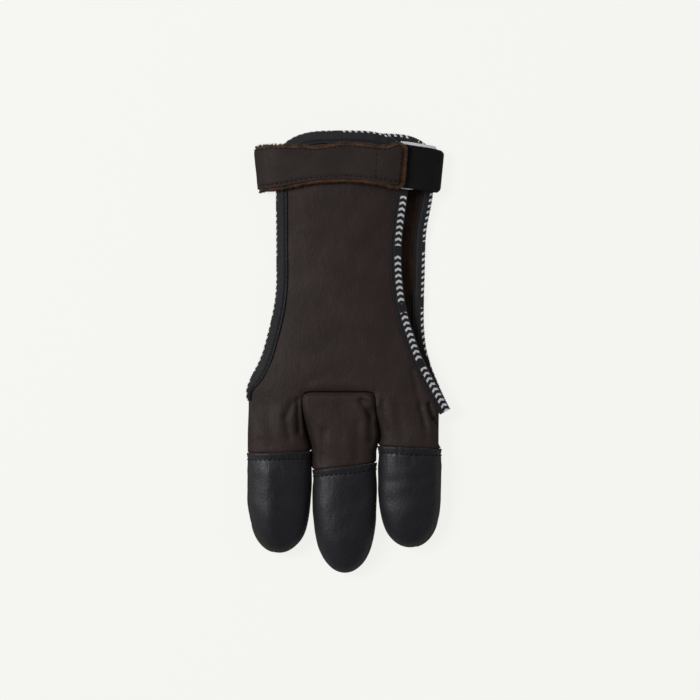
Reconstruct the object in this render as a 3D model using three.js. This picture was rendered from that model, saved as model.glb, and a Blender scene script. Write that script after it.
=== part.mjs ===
// Three-finger archery glove for the right hand, lying on its palm with the back of the hand up.
// Frame: +Z up from the surface it lies on, +Y towards the wrist, +X towards the thumb. Millimetres.
// Each leather piece is a wall laid out in rows from the wrist edge to the fingertips.
import * as THREE from "three";

// Thicknesses of the stock
const HAND_LEATHER = 1.2;
const CAP_LEATHER = 1.6;
const STRAP_LEATHER = 2;
const TAPE = 0.6;
const ELASTIC = 1.4;
const LABEL = 0.4;

const FIT_GAP = 0.3; // between neighbouring pieces
const SEAM_GAP = 0.5; // between the leathers sewn together at the insert's sides

// Hand, measured from the knuckle seam and from the middle finger's axis
const HAND_LENGTH = 135; // to the top of the wrist edge
const BACK_WAIST_LEFT = 35.8; // little-finger side
const BACK_WAIST_RIGHT = 29.6; // thumb side
const PALM_WAIST_LEFT = 33;
const PALM_WAIST_RIGHT = 40.7;
const WRIST_DROP = 9; // how far the wrist edge curves down to its corners
const BACK_CORNERS = 3.9; // how square the wrist edge's corners are; 2 is an ellipse
const PALM_CORNERS = 5.5;
const PALM_SET_BACK = 0.5; // the palm's wrist edge lies this much lower
const CROTCH_DEPTH = 24; // down to the bottom of the cuts between the fingers
const SLIT_DEPTH = 4.6; // down to the ends of the open sides
const SEAM_START = 11.5; // down to where the side seams begin, and to where they are fully closed
const SEAM_CLOSED = 18;
const INSERT_WIDTH = 38.1; // of the middle finger's insert, along the knuckle seam

// Fingers
const RING_WIDTH = 33;
const MIDDLE_WIDTH = 32.8;
const INDEX_WIDTH = 32.5;
const FINGER_SPACE = 1.1; // between neighbouring caps
const RING_SLEEVE = 31.6; // knuckle seam to the cap's mouth
const MIDDLE_SLEEVE = 38.8;
const INDEX_SLEEVE = 29;
const RING_CAP = 52;
const MIDDLE_CAP = 55.2;
const INDEX_CAP = 51.8;
const TUCK = 6; // how far a sleeve runs up inside its cap
const CAP_RIM = 0.4; // how far the turned mouth of a cap stands proud
const MOUTH_CLEARANCE = 0.35; // a sleeve narrows this far above its cap's mouth
const INDEX_PINCH = 1.1; // how far the index sleeve's outer side is drawn in above its cap
const RING_BLUNTNESS = 4.1; // how square the fingertips are from above; 2 is an ellipse
const MIDDLE_BLUNTNESS = 4.1;
const INDEX_BLUNTNESS = 4.6;
const TOP_BLUNTNESS = 4.5; // and from the side, over the fingertip and under it
const UNDERSIDE_BLUNTNESS = 8;

const FOLD_WIDTH = 4; // half the width of the deepest fold over the knuckles
const FOLD_DEPTH = 1.1;

// Heights over the surface
const SEAM_HEIGHT = 5.6; // the fingers' side seams
const CAP_HEIGHT = 14.8;
const SLEEVE_HEIGHT = 13.6;
const SLEEVE_REST = 0.4; // the sleeves' undersides
const HAND_HEIGHT = 12; // the back's crown halfway along the hand
const WRIST_HEIGHT = 13.6;
const BACK_EDGE_HEIGHT = 7.8; // the back's bound edges halfway along the hand
const WRIST_EDGE_HEIGHT = 10.6;
const TAPE_REST = 0.2; // the palm's binding
const KNUCKLE_ARCH = 3.4; // how square the back's arch is at the knuckles and at the wrist; 2 is a parabola
const WRIST_ARCH = 2.2;
// Shares of HAND_LENGTH over which the hand's height changes
const KNUCKLE_SLOPE = 0.3; // up from the knuckle seam
const STRAP_SLOPE = [0.55, 0.78]; // to lie over the strap's run under the palm

// Edge binding
const TAPE_COVER = 5.2; // how far the tape reaches in over the leather
const TAPE_END_COVER = 1.2; // the same where it turns round the end of the left slit
const TAPE_TURN = 15; // length over which it narrows to that
const TAIL = 4.2; // the tape's cut ends run on past the right slit

// Wrist strap
const STRAP_WIDTH = 22.6;
const STRAP_PLACE = 116.4; // knuckle seam to the strap's middle
const STRAP_BOW = 2.6; // its middle lies this much nearer the wrist edge than its ends
const STRAP_LEFT = 46.3; // out to the left fold
const STRAP_CROWN = 17.3; // height of the strap's top
const ELASTIC_WIDTH = 23;
const ELASTIC_RIGHT = 50.6; // out to the elastic's fold
const ELASTIC_CROWN = 14.8;
const ELASTIC_SLANT = 0.1; // how fast the elastic falls away towards the thumb
const LABEL_LENGTH = 25.4; // along the hand

const LEATHER_BROWN = 0x312c2b;
const CAP_BLACK = 0x2b2a2d;
const TAPE_BLACK = 0x26262a;
const STRAP_BROWN = 0x302922;
const ELASTIC_BLACK = 0x181919;
const LABEL_WHITE = 0xe4e2e6;

// Side edges of the hand. along: share of HAND_LENGTH from the knuckle seam.
// flare: share of the way from the waist out to the outer side of the finger below.
const BACK_LEFT_EDGE = [
  { along: -0.035, flare: 1.02 },
  { along: 0.004, flare: 1.07 },
  { along: 0.036, flare: 0.96 },
  { along: 0.064, flare: 0.82 },
  { along: 0.09, flare: 0.67 },
  { along: 0.12, flare: 0.53 },
  { along: 0.15, flare: 0.42 },
  { along: 0.18, flare: 0.32 },
  { along: 0.21, flare: 0.235 },
  { along: 0.24, flare: 0.16 },
  { along: 0.29, flare: 0.06 },
  { along: 0.4, flare: -0.01 },
  { along: 0.53, flare: -0.01 },
  { along: 0.77, flare: 0.0 },
  { along: 0.86, flare: 0.0 },
  { along: 0.93, flare: -0.06 },
];
const BACK_RIGHT_EDGE = [
  { along: -0.035, flare: 1.11 },
  { along: 0.024, flare: 0.89 },
  { along: 0.084, flare: 0.675 },
  { along: 0.14, flare: 0.495 },
  { along: 0.198, flare: 0.36 },
  { along: 0.257, flare: 0.23 },
  { along: 0.32, flare: 0.12 },
  { along: 0.375, flare: 0.06 },
  { along: 0.46, flare: 0.01 },
  { along: 0.55, flare: 0 },
  { along: 0.64, flare: 0.05 },
  { along: 0.77, flare: 0.16 },
  { along: 0.86, flare: 0.18 },
  { along: 0.93, flare: 0.13 },
];
const PALM_LEFT_EDGE = [
  { along: -0.035, flare: 1.02 },
  { along: 0.004, flare: 1.06 },
  { along: 0.036, flare: 0.95 },
  { along: 0.064, flare: 0.8 },
  { along: 0.09, flare: 0.66 },
  { along: 0.12, flare: 0.53 },
  { along: 0.15, flare: 0.43 },
  { along: 0.18, flare: 0.34 },
  { along: 0.24, flare: 0.19 },
  { along: 0.29, flare: 0.1 },
  { along: 0.4, flare: 0.03 },
  { along: 0.86, flare: 0.02 },
  { along: 0.93, flare: -0.05 },
];
const PALM_RIGHT_EDGE = [
  { along: -0.035, flare: 1.28 },
  { along: 0, flare: 1.04 },
  { along: 0.024, flare: 0.89 },
  { along: 0.049, flare: 0.74 },
  { along: 0.087, flare: 0.52 },
  { along: 0.125, flare: 0.34 },
  { along: 0.163, flare: 0.2 },
  { along: 0.202, flare: 0.12 },
  { along: 0.26, flare: 0.06 },
  { along: 0.345, flare: 0.06 },
  { along: 0.44, flare: 0.1 },
  { along: 0.53, flare: 0.13 },
  { along: 0.61, flare: 0.18 },
  { along: 0.66, flare: 0.29 },
  { along: 0.7, flare: 0.41 },
  { along: 0.74, flare: 0.52 },
  { along: 0.8, flare: 0.62 },
  { along: 0.86, flare: 0.66 },
  { along: 0.93, flare: 0.56 },
];

// Sides of the middle finger's insert. along: share of MIDDLE_SLEEVE from the knuckle seam.
// left, right: shares of INSERT_WIDTH from the middle finger's axis.
const INSERT_SIDES = [
  { along: 0, left: 0.583, right: 0.417 },
  { along: 0.1, left: 0.585, right: 0.412 },
  { along: 0.27, left: 0.57, right: 0.422 },
  { along: 0.47, left: 0.53, right: 0.462 },
  { along: 0.58, left: 0.504, right: 0.48 },
  { along: 0.68, left: 0.473, right: 0.444 },
  { along: 0.74, left: 0.454, right: 0.43 },
  { along: 0.85, left: 0.437, right: 0.43 },
  { along: 1, left: 0.43, right: 0.43 },
];

// Soft folds pressed into the leather over the knuckles, each along a line between two places.
// across: share of MIDDLE_WIDTH from the middle finger's axis. along: share of MIDDLE_SLEEVE from the
// knuckle seam. width: share of FOLD_WIDTH. depth: share of FOLD_DEPTH.
const FOLDS = [
  { from: { across: -0.86, along: 0.1 }, to: { across: -0.76, along: 0.72 }, width: 1, depth: 1 },
  { from: { across: 0.26, along: 0.02 }, to: { across: 0.52, along: 0.42 }, width: 0.75, depth: 0.8 },
  { from: { across: -0.3, along: 0.5 }, to: { across: -0.27, along: 0.92 }, width: 0.7, depth: 0.5 },
  { from: { across: 0.24, along: 0.45 }, to: { across: 0.2, along: 0.9 }, width: 0.7, depth: 0.5 },
  { from: { across: 1.12, along: 0.12 }, to: { across: 1.26, along: 0.62 }, width: 0.8, depth: 0.6 },
];

// Cross-section of a finger, seam to seam. across: share of its width.
// rise: share of the height from the side seam to the crown, or down to the underside.
const FINGER_TOP = [
  { across: 0, rise: 0 },
  { across: 0.07, rise: 0.53 },
  { across: 0.17, rise: 0.79 },
  { across: 0.32, rise: 0.95 },
  { across: 0.5, rise: 1 },
  { across: 0.68, rise: 0.95 },
  { across: 0.83, rise: 0.79 },
  { across: 0.93, rise: 0.53 },
  { across: 1, rise: 0 },
];
const FINGER_UNDERSIDE = [
  { across: 0, rise: 0 },
  { across: 0.06, rise: 0.6 },
  { across: 0.16, rise: 0.92 },
  { across: 0.32, rise: 1 },
  { across: 0.5, rise: 1 },
  { across: 0.68, rise: 1 },
  { across: 0.84, rise: 0.92 },
  { across: 0.94, rise: 0.6 },
  { across: 1, rise: 0 },
];

// Rings along a cap. along: share of the cap's length from its mouth. rim: share of CAP_RIM.
const CAP_RINGS = [
  { along: 0, rim: 0.6 },
  { along: 0.02, rim: 1 },
  { along: 0.05, rim: 0.8 },
  { along: 0.075, rim: 0 },
  { along: 0.28, rim: 0 },
  { along: 0.48, rim: 0 },
  { along: 0.65, rim: 0 },
  { along: 0.79, rim: 0 },
  { along: 0.89, rim: 0 },
  { along: 0.955, rim: 0 },
  { along: 0.99, rim: 0 },
];

// Rows of the hand, as shares of the way from the knuckle seam to the strip under the wrist's tape, and
// rows of the palm's web and of a sleeve, as shares of the way down to the cuts and to the cap's mouth
const HAND_ROWS = [1, 0.95, 0.89, 0.82, 0.74, 0.65, 0.56, 0.47, 0.38, 0.3, 0.225, 0.16, 0.105, 0.055, 0];
const WEB_ROWS = [0.08, 0.19, 0.34, 0.5, 0.67, 0.84, 1]; // the palm down to the cuts between the fingers
const SLEEVE_ROWS = [0.07, 0.15, 0.27, 0.4, 0.54, 0.68, 0.82, 0.97];

// The strap's loop from its free end over the back, round the left fold and under the palm.
// across: share of STRAP_LEFT, measured to the middle of the leather. height: share of STRAP_CROWN.
const STRAP_RUN = [
  { across: 0.67, height: 0.885 },
  { across: 0.56, height: 0.93 },
  { across: 0.44, height: 0.97 },
  { across: 0.3, height: 0.965 },
  { across: 0.05, height: 0.925 },
  { across: -0.2, height: 0.91 },
  { across: -0.45, height: 0.865 },
  { across: -0.68, height: 0.8 },
  { across: -0.79, height: 0.745 },
  { across: -0.88, height: 0.65 },
  { across: -0.95, height: 0.49 },
  { across: -0.98, height: 0.32 },
  { across: -0.95, height: 0.16 },
  { across: -0.88, height: 0.08 },
  { across: -0.8, height: 0.06 },
  { across: -0.4, height: 0.06 },
  { across: 0, height: 0.06 },
  { across: 0.42, height: 0.06 },
];
// The elastic's loop from under the strap's free end, round the right fold and under the palm.
// across: share of ELASTIC_RIGHT. height: share of ELASTIC_CROWN.
const ELASTIC_RUN = [
  { across: 0.43, height: 0.952 },
  { across: 0.53, height: 0.915 },
  { across: 0.7, height: 0.825 },
  { across: 0.8, height: 0.735 },
  { across: 0.89, height: 0.61 },
  { across: 0.965, height: 0.43 },
  { across: 0.985, height: 0.28 },
  { across: 0.96, height: 0.14 },
  { across: 0.91, height: 0.06 },
  { across: 0.84, height: 0.0475 },
  { across: 0.62, height: 0.0475 },
  { across: 0.41, height: 0.0475 },
];
const LABEL_RUN = ELASTIC_RUN.slice(2, 5); // the part of the loop with the label on its inner side

const { smoothstep: smooth, lerp: mix } = THREE.MathUtils;
const SLEEVE_STEP = 5; // about the length of a row below the cuts
const SEAM_SHARE = 0.35; // how far an edge has come down towards its side seam when it counts as one
const STRIPS = FINGER_TOP.length - 1; // across one finger
const COLUMNS = 3 * STRIPS; // across the hand
const ringAxis = -(MIDDLE_WIDTH / 2 + FINGER_SPACE + RING_WIDTH / 2);
const indexAxis = MIDDLE_WIDTH / 2 + FINGER_SPACE + INDEX_WIDTH / 2;
const outerLeft = ringAxis - RING_WIDTH / 2;
const outerRight = indexAxis + INDEX_WIDTH / 2;
const between = MIDDLE_WIDTH / 2 + FINGER_SPACE / 2; // middle finger's axis to the cuts beside it
const seamTop = SEAM_HEIGHT + FIT_GAP / 2; // the two sides of a side seam
const seamUnder = SEAM_HEIGHT - FIT_GAP / 2;
const tapeOut = FIT_GAP + TAPE; // how far the tape stands out from the leather's edge and faces
const boundEdge = HAND_LEATHER + tapeOut; // a bound edge's outer face to the far side of the tape

const FINGERS = {
  ring: { axis: ringAxis, width: RING_WIDTH, sleeve: RING_SLEEVE, cap: RING_CAP, bluntness: RING_BLUNTNESS },
  middle: {
    axis: 0,
    width: MIDDLE_WIDTH,
    sleeve: MIDDLE_SLEEVE,
    cap: MIDDLE_CAP,
    bluntness: MIDDLE_BLUNTNESS,
  },
  index: {
    axis: indexAxis,
    width: INDEX_WIDTH,
    sleeve: INDEX_SLEEVE,
    cap: INDEX_CAP,
    bluntness: INDEX_BLUNTNESS,
  },
};

// A column of a table at any place along it, on a smooth curve through the rows.
function follow(table, column, at) {
  const last = table.length - 1;
  let i = 0;
  while (i < last - 1 && at > table[i + 1].along) i += 1;
  const slope = (k) => {
    const a = table[Math.max(k - 1, 0)];
    const b = table[Math.min(k + 1, last)];
    return (b[column] - a[column]) / (b.along - a.along);
  };
  const [from, to] = [table[i], table[i + 1]];
  const span = to.along - from.along;
  const t = THREE.MathUtils.clamp((at - from.along) / span, 0, 1);
  const rest = 1 - t;
  return (
    from[column] * (1 + 2 * t) * rest * rest +
    to[column] * t * t * (3 - 2 * t) +
    span * t * rest * (slope(i) * rest - slope(i + 1) * t)
  );
}

// A closed mesh from points and the faces between them.
function closedMesh(points, triangles) {
  const geometry = new THREE.BufferGeometry();
  geometry.setAttribute("position", new THREE.Float32BufferAttribute(points.flatMap((p) => p.toArray()), 3));
  geometry.setIndex(triangles.flat());
  geometry.computeVertexNormals();
  return geometry;
}

// A skin of faces that becomes a wall of leather; the faces laid out are its outer side.
class Skin {
  constructor() {
    this.points = [];
    this.faces = [];
    this.level = new Set(); // points whose inner side keeps their height, as at a side seam
  }

  point(x, y, z, level = false) {
    this.points.push(new THREE.Vector3(x, y, z));
    if (level) this.level.add(this.points.length - 1);
    return this.points.length - 1;
  }

  // Faces between rows of points; rows run towards the fingertips, points to the right seen from outside.
  patch(rows) {
    for (let i = 0; i + 1 < rows.length; i += 1) {
      for (let j = 0; j + 1 < rows[i].length; j += 1) {
        const [a, b, c, d] = [rows[i][j], rows[i + 1][j], rows[i + 1][j + 1], rows[i][j + 1]];
        this.faces.push([a, b, d]);
        if (b !== c) this.faces.push([b, c, d]);
      }
    }
  }

  wall(thickness) {
    const normals = this.points.map(() => new THREE.Vector3());
    for (const [a, b, c] of this.faces) {
      const [p, q, r] = [this.points[a], this.points[b], this.points[c]];
      const across = q.clone().sub(p).cross(r.clone().sub(p));
      for (const corner of [a, b, c]) normals[corner].add(across);
    }
    const inner = this.points.map((p, i) => {
      const n = normals[i].normalize();
      if (this.level.has(i)) n.setZ(0).normalize();
      return p.clone().addScaledVector(n, -thickness);
    });
    const count = this.points.length;
    const triangles = [...this.faces];
    const edges = new Set();
    for (const [a, b, c] of this.faces) {
      triangles.push([c + count, b + count, a + count]);
      for (const edge of [[a, b], [b, c], [c, a]]) edges.add(edge.join());
    }
    for (const edge of edges) {
      const [a, b] = edge.split(",").map(Number);
      if (!edges.has(`${b},${a}`)) triangles.push([b, a, a + count], [b, a + count, b + count]);
    }
    return closedMesh([...this.points, ...inner], triangles);
  }
}

// A strip carried along a path. Each station turns the flat outline's points into points in space.
function carried(outline, stations) {
  const count = outline.length;
  const points = stations.flatMap((station) => outline.map(([x, y]) => station(x, y)));
  const triangles = [];
  for (let i = 0; i + 1 < stations.length; i += 1) {
    for (let j = 0; j < count; j += 1) {
      const [a, b] = [i * count + j, i * count + ((j + 1) % count)];
      triangles.push([a, b, b + count], [a, b + count, a + count]);
    }
  }
  const end = (stations.length - 1) * count;
  const flat = outline.map(([x, y]) => new THREE.Vector2(x, y));
  for (const corners of THREE.ShapeUtils.triangulateShape(flat, [])) {
    const [a, b, c] = THREE.ShapeUtils.area(flat) > 0 ? corners : corners.reverse();
    triangles.push([a, c, b], [a + end, b + end, c + end]);
  }
  return closedMesh(points, triangles);
}

// The ring of points round a finger cap: over the top from left to right, and back under it.
function capRing(finger, along, rim) {
  const narrowing = (power) => Math.sqrt(Math.max(1 - along ** power, 0));
  const width = finger.width * narrowing(finger.bluntness) + 2 * rim;
  const top = (CAP_HEIGHT + rim - SEAM_HEIGHT) * narrowing(TOP_BLUNTNESS);
  const under = SEAM_HEIGHT * narrowing(UNDERSIDE_BLUNTNESS);
  const y = -finger.sleeve - along * finger.cap;
  const place = (across, z) => new THREE.Vector3(finger.axis + (across - 0.5) * width, y, z);
  const upper = FINGER_TOP.map(({ across, rise }) => place(across, SEAM_HEIGHT + rise * top));
  const lower = FINGER_UNDERSIDE.map(({ across, rise }) => place(across, SEAM_HEIGHT - rise * under));
  return [...upper, ...lower.reverse().slice(1, -1)];
}

function capGeometry(finger) {
  const skin = new Skin();
  const rows = CAP_RINGS.map(({ along, rim }) => {
    const row = capRing(finger, along, rim * CAP_RIM).map(({ x, y, z }) => skin.point(x, y, z));
    return [...row, row[0]];
  });
  const tip = skin.point(finger.axis, -finger.sleeve - finger.cap, SEAM_HEIGHT);
  skin.patch([...rows, rows[0].map(() => tip)]);
  return skin.wall(CAP_LEATHER);
}

// The insert's sides
const insertLeft = (y) => -INSERT_WIDTH * follow(INSERT_SIDES, "left", -y / MIDDLE_SLEEVE);
const insertRight = (y) => INSERT_WIDTH * follow(INSERT_SIDES, "right", -y / MIDDLE_SLEEVE);

// How far a row below the knuckle seam has become separate fingers, 0 to 1: at the outer sides, and
// at the valleys between the fingers
const closing = (y) => smooth(-y, SEAM_START, SEAM_CLOSED);
const parting = (y) => smooth(-y, 0, CROTCH_DEPTH);

// How far the hand's edge stands out at a place along it: 0 is the waist, 1 the knuckles.
const flare = (edge, y) => follow(edge, "flare", y / HAND_LENGTH);

// The two layers of the hand. u: place across, -1 to 1. along: share of HAND_LENGTH.
// cuts: where the fingers meet at the knuckle seam. folded: share of the folds that it takes.
const BACK = {
  profile: FINGER_TOP,
  cuts: [insertLeft(0), insertRight(0)],
  folded: 1,
  seam: seamTop,
  sleeveHeight: SLEEVE_HEIGHT,
  wrist: (u) => HAND_LENGTH - tapeOut - WRIST_DROP * Math.abs(u) ** BACK_CORNERS,
  left: (y) => -mix(BACK_WAIST_LEFT, -outerLeft, flare(BACK_LEFT_EDGE, y)) + tapeOut,
  right: (y) => mix(BACK_WAIST_RIGHT, outerRight, flare(BACK_RIGHT_EDGE, y)) - tapeOut,
  crown: (along) =>
    mix(SLEEVE_HEIGHT - 0.4, HAND_HEIGHT, smooth(along, 0, KNUCKLE_SLOPE)) +
    (WRIST_HEIGHT - HAND_HEIGHT) * smooth(along, ...STRAP_SLOPE),
  edge: (along) =>
    mix(seamTop + boundEdge, BACK_EDGE_HEIGHT, smooth(along, 0, KNUCKLE_SLOPE / 2)) +
    (WRIST_EDGE_HEIGHT - BACK_EDGE_HEIGHT) * smooth(along, ...STRAP_SLOPE),
};
const PALM = {
  profile: FINGER_UNDERSIDE,
  cuts: [-between, between],
  folded: 0,
  seam: seamUnder,
  sleeveHeight: SLEEVE_REST,
  wrist: (u) => HAND_LENGTH - PALM_SET_BACK - tapeOut - WRIST_DROP * Math.abs(u) ** PALM_CORNERS,
  left: (y) => -mix(PALM_WAIST_LEFT, -outerLeft, flare(PALM_LEFT_EDGE, y)) + tapeOut,
  right: (y) => mix(PALM_WAIST_RIGHT, outerRight, flare(PALM_RIGHT_EDGE, y)) - tapeOut,
  crown: (along) =>
    TAPE_REST + tapeOut + (STRAP_LEATHER + FIT_GAP - TAPE_REST) * smooth(along, ...STRAP_SLOPE),
  edge: (along) => mix(seamUnder - boundEdge, PALM.crown(along), smooth(along, 0, KNUCKLE_SLOPE / 2)),
};

// How deep the folds press the leather in at a place.
function foldDepth(x, y) {
  let depth = 0;
  for (const fold of FOLDS) {
    const [start, end] = [fold.from, fold.to].map(
      ({ across, along }) => new THREE.Vector3(across * MIDDLE_WIDTH, -along * MIDDLE_SLEEVE),
    );
    const place = new THREE.Vector3(x, y);
    const nearest = new THREE.Line3(start, end).closestPointToPoint(place, true, new THREE.Vector3());
    const distance = place.distanceTo(nearest) / (fold.width * FOLD_WIDTH);
    depth = Math.max(depth, fold.depth * FOLD_DEPTH * Math.exp(-distance * distance));
  }
  return depth;
}

// Height of a layer's outer face over the hand; flat outwards from its side edges.
function handHeight(layer, x, y) {
  const along = y / HAND_LENGTH;
  const [left, right] = [layer.left(y), layer.right(y)];
  const u = Math.min(Math.abs((2 * (x - left)) / (right - left) - 1), 1);
  const arch = mix(KNUCKLE_ARCH, WRIST_ARCH, smooth(along, 0, KNUCKLE_SLOPE));
  return mix(layer.crown(along), layer.edge(along), u ** arch);
}

// Rows of a layer over the hand, down to the knuckle seam.
function handRows(skin, layer) {
  const ends = [layer.left(0), ...layer.cuts, layer.right(0)];
  const knuckle = Array.from({ length: COLUMNS + 1 }, (_, j) => {
    const block = Math.min(Math.floor(j / STRIPS), 2);
    const x = mix(ends[block], ends[block + 1], layer.profile[j - block * STRIPS].across);
    return (x - ends[0]) / (ends[3] - ends[0]);
  });
  return [null, ...HAND_ROWS].map((share) =>
    knuckle.map((place, j) => {
      const evenly = mix(j / COLUMNS, place, 0.3);
      const across = mix(place, evenly, smooth(share ?? 1, 0.05, 0.5));
      const edge = layer.wrist(2 * across - 1);
      const y = share === null ? edge : share * (edge - TAPE_COVER);
      const x = mix(layer.left(y), layer.right(y), across);
      return skin.point(x, y, handHeight(layer, x, y) - layer.folded * foldDepth(x, y));
    }),
  );
}

// One row of a finger's leather. sides: x of its two edges. open: which of them are valleys.
function sleeveRow(skin, layer, y, sides, open, shared = []) {
  const [left, right] = sides;
  return layer.profile.map(({ across, rise }, j) => {
    if (shared[j] !== undefined) return shared[j];
    const x = mix(left, right, across);
    const valley = across < 0.5 ? open[0] : open[1];
    const apart = valley ? parting(y) : 1;
    const finger = mix(layer.sleeveHeight, mix(layer.sleeveHeight, layer.seam, apart), 1 - rise);
    const toValley = open[0] && open[1] ? 0 : open[0] ? across : 1 - across;
    const nearValley = 1 - smooth(toValley, 0.2, 0.75);
    const blend = mix(closing(y), parting(y) ** 0.6, nearValley);
    const z = mix(handHeight(layer, x, y), finger, blend);
    const atSeam = (j === 0 || j === STRIPS) && blend * apart > SEAM_SHARE;
    const pressed = atSeam ? 0 : layer.folded * foldDepth(x, y);
    return skin.point(x, y, z - pressed, atSeam);
  });
}

// The end of a sleeve inside its cap: the cap's ring, set in by its wall and the gap.
function tuckedRow(skin, layer, finger, along) {
  const ring = capRing(finger, Math.max(along, 0), 0);
  const count = ring.length;
  const y = -finger.sleeve - along * finger.cap;
  const inset = ring.map((p, i) => {
    const run = ring[(i + 1) % count].clone().sub(ring[(i + count - 1) % count]);
    return new THREE.Vector3(run.z, 0, -run.x).setLength(CAP_LEATHER + FIT_GAP + CAP_RIM / 2).add(p);
  });
  const half =
    layer === BACK ? inset.slice(0, STRIPS + 1) : [inset[0], ...inset.slice(STRIPS).reverse()];
  return half.map(({ x, z }, j) => {
    const atSeam = j === 0 || j === STRIPS;
    return skin.point(x, y, atSeam ? layer.seam : z, atSeam);
  });
}

function tuckedRows(skin, layer, finger) {
  const depths = [-MOUTH_CLEARANCE, TUCK / 2, TUCK];
  return depths.map((depth) => tuckedRow(skin, layer, finger, depth / finger.cap));
}

// Rows of a sleeve of the back below the knuckle seam, down into its cap.
function sleeveRows(skin, finger, sides, open) {
  const rows = SLEEVE_ROWS.map((share) => {
    const y = -share * finger.sleeve;
    return sleeveRow(skin, BACK, y, sides(y), open);
  });
  return [...rows, ...tuckedRows(skin, BACK, finger)];
}

// Outer edges of the ring and index fingers' leathers below the knuckle seam
const ringOuter = (layer, y) => mix(layer.left(y), outerLeft, closing(y));
const indexPinch = (y) => INDEX_PINCH * (1 - smooth(-y, INDEX_SLEEVE * 0.75, INDEX_SLEEVE));
const indexOuter = (layer, y) => mix(layer.right(y), outerRight - indexPinch(y), closing(y));
// and their inner edges: along the insert's sides, and lower down along the fingers' own
const ringInner = (y) => Math.min(insertLeft(y) - SEAM_GAP / 2, ringAxis + RING_WIDTH / 2);
const indexInner = (y) =>
  Math.max(
    insertRight(y) + SEAM_GAP / 2,
    indexAxis - INDEX_WIDTH / 2 - 2 * SEAM_GAP * (1 - smooth(-y, CROTCH_DEPTH / 2, CROTCH_DEPTH * 0.8)),
  );

function backPanel() {
  const skin = new Skin();
  const rows = handRows(skin, BACK);
  skin.patch(rows);
  const knuckles = rows[rows.length - 1];
  const ring = sleeveRows(skin, FINGERS.ring, (y) => [ringOuter(BACK, y), ringInner(y)], [false, true]);
  const index = sleeveRows(skin, FINGERS.index, (y) => [indexInner(y), indexOuter(BACK, y)], [true, false]);
  skin.patch([knuckles.slice(0, STRIPS + 1), ...ring]);
  skin.patch([knuckles.slice(2 * STRIPS), ...index]);
  return skin.wall(HAND_LEATHER);
}

function middleInsert() {
  const skin = new Skin();
  const sides = (y) => [insertLeft(y) + SEAM_GAP / 2, insertRight(y) - SEAM_GAP / 2];
  const top = sleeveRow(skin, BACK, -FIT_GAP, sides(-FIT_GAP), [true, true]);
  skin.patch([top, ...sleeveRows(skin, FINGERS.middle, sides, [true, true])]);
  return skin.wall(HAND_LEATHER);
}

function palmPanel() {
  const skin = new Skin();
  const rows = handRows(skin, PALM);
  for (const share of WEB_ROWS) {
    const y = -share * CROTCH_DEPTH;
    const ring = sleeveRow(skin, PALM, y, [ringOuter(PALM, y), -between], [false, true]);
    const index = sleeveRow(skin, PALM, y, [between, indexOuter(PALM, y)], [true, false]);
    const shared = [];
    [shared[0], shared[STRIPS]] = [ring[STRIPS], index[0]];
    const middle = sleeveRow(skin, PALM, y, [-between, between], [true, true], shared);
    rows.push([...ring, ...middle.slice(1), ...index.slice(1)]);
  }
  skin.patch(rows.map((row) => row.reverse()));
  const last = rows[rows.length - 1].slice().reverse();
  const starts = [last.slice(0, STRIPS + 1), last.slice(STRIPS, 2 * STRIPS + 1), last.slice(2 * STRIPS)];
  Object.values(FINGERS).forEach((finger, i) => {
    const sides = [finger.axis - finger.width / 2, finger.axis + finger.width / 2];
    const length = finger.sleeve - CROTCH_DEPTH;
    const count = Math.max(Math.round(length / SLEEVE_STEP), 1);
    const below = Array.from({ length: count }, (_, k) => {
      const y = -CROTCH_DEPTH - (length - 4 * MOUTH_CLEARANCE) * ((k + 1) / count);
      return sleeveRow(skin, PALM, y, sides, [false, false]);
    });
    const rows = [starts[i], ...below, ...tuckedRows(skin, PALM, finger)];
    skin.patch(rows.map((row) => row.slice().reverse()));
  });
  return skin.wall(HAND_LEATHER);
}

// The tape round a layer's open edge, folded over it: from its cut end on the thumb side up to the
// wrist, across, and down to the end of the slit on the little-finger side.
function binding(layer) {
  const skin = new Skin();
  const [wrist, ...rows] = handRows(skin, layer).map((row) => row.map((index) => skin.points[index]));
  const path = [
    ...[-1, -0.5].map((share) => pointAt(layer, "right", share * SLIT_DEPTH)),
    ...rows.map((row) => row[COLUMNS]).reverse(),
    ...wrist.reverse(),
    ...rows.map((row) => row[0]),
    ...[-0.5, -1].map((share) => pointAt(layer, "left", share * SLIT_DEPTH)),
  ];
  const tail = path[0].clone().sub(path[1]).setZ(0).normalize();
  path.unshift(path[0].clone().addScaledVector(tail, TAIL));

  const toEnd = path.map(() => 0);
  for (let i = path.length - 2; i >= 0; i -= 1) toEnd[i] = toEnd[i + 1] + path[i].distanceTo(path[i + 1]);
  const face = layer === PALM ? -1 : 1;
  const stations = path.map((p, i) => {
    const from = path[Math.max(i - 1, 0)];
    const to = path[Math.min(i + 1, path.length - 1)];
    const run = to.clone().sub(from).setZ(0).normalize();
    const inward = new THREE.Vector3(-run.y, run.x, 0);
    const cover = mix(TAPE_END_COVER, TAPE_COVER, smooth(toEnd[i], 0, TAPE_TURN));
    return (depth, out) => {
      const q = p.clone().addScaledVector(inward, depth > 0 ? depth * cover : depth);
      return q.setZ(handHeight(layer, q.x, q.y) + face * out);
    };
  });
  const far = -boundEdge;
  const fold = -HAND_LEATHER / 2;
  const outline = [
    [1, FIT_GAP],
    [1, tapeOut],
    [0.5, tapeOut],
    [0, tapeOut],
    [-tapeOut * 0.7, tapeOut - 0.3],
    [-tapeOut, fold],
    [-tapeOut * 0.7, far + 0.3],
    [0, far],
    [0.5, far],
    [1, far],
    [1, far + TAPE],
    [0.5, far + TAPE],
    [-FIT_GAP, far + TAPE],
    [-FIT_GAP, FIT_GAP],
    [0.5, FIT_GAP],
  ];
  if (layer === PALM) outline.reverse();
  return carried(outline, stations);
}

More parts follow.
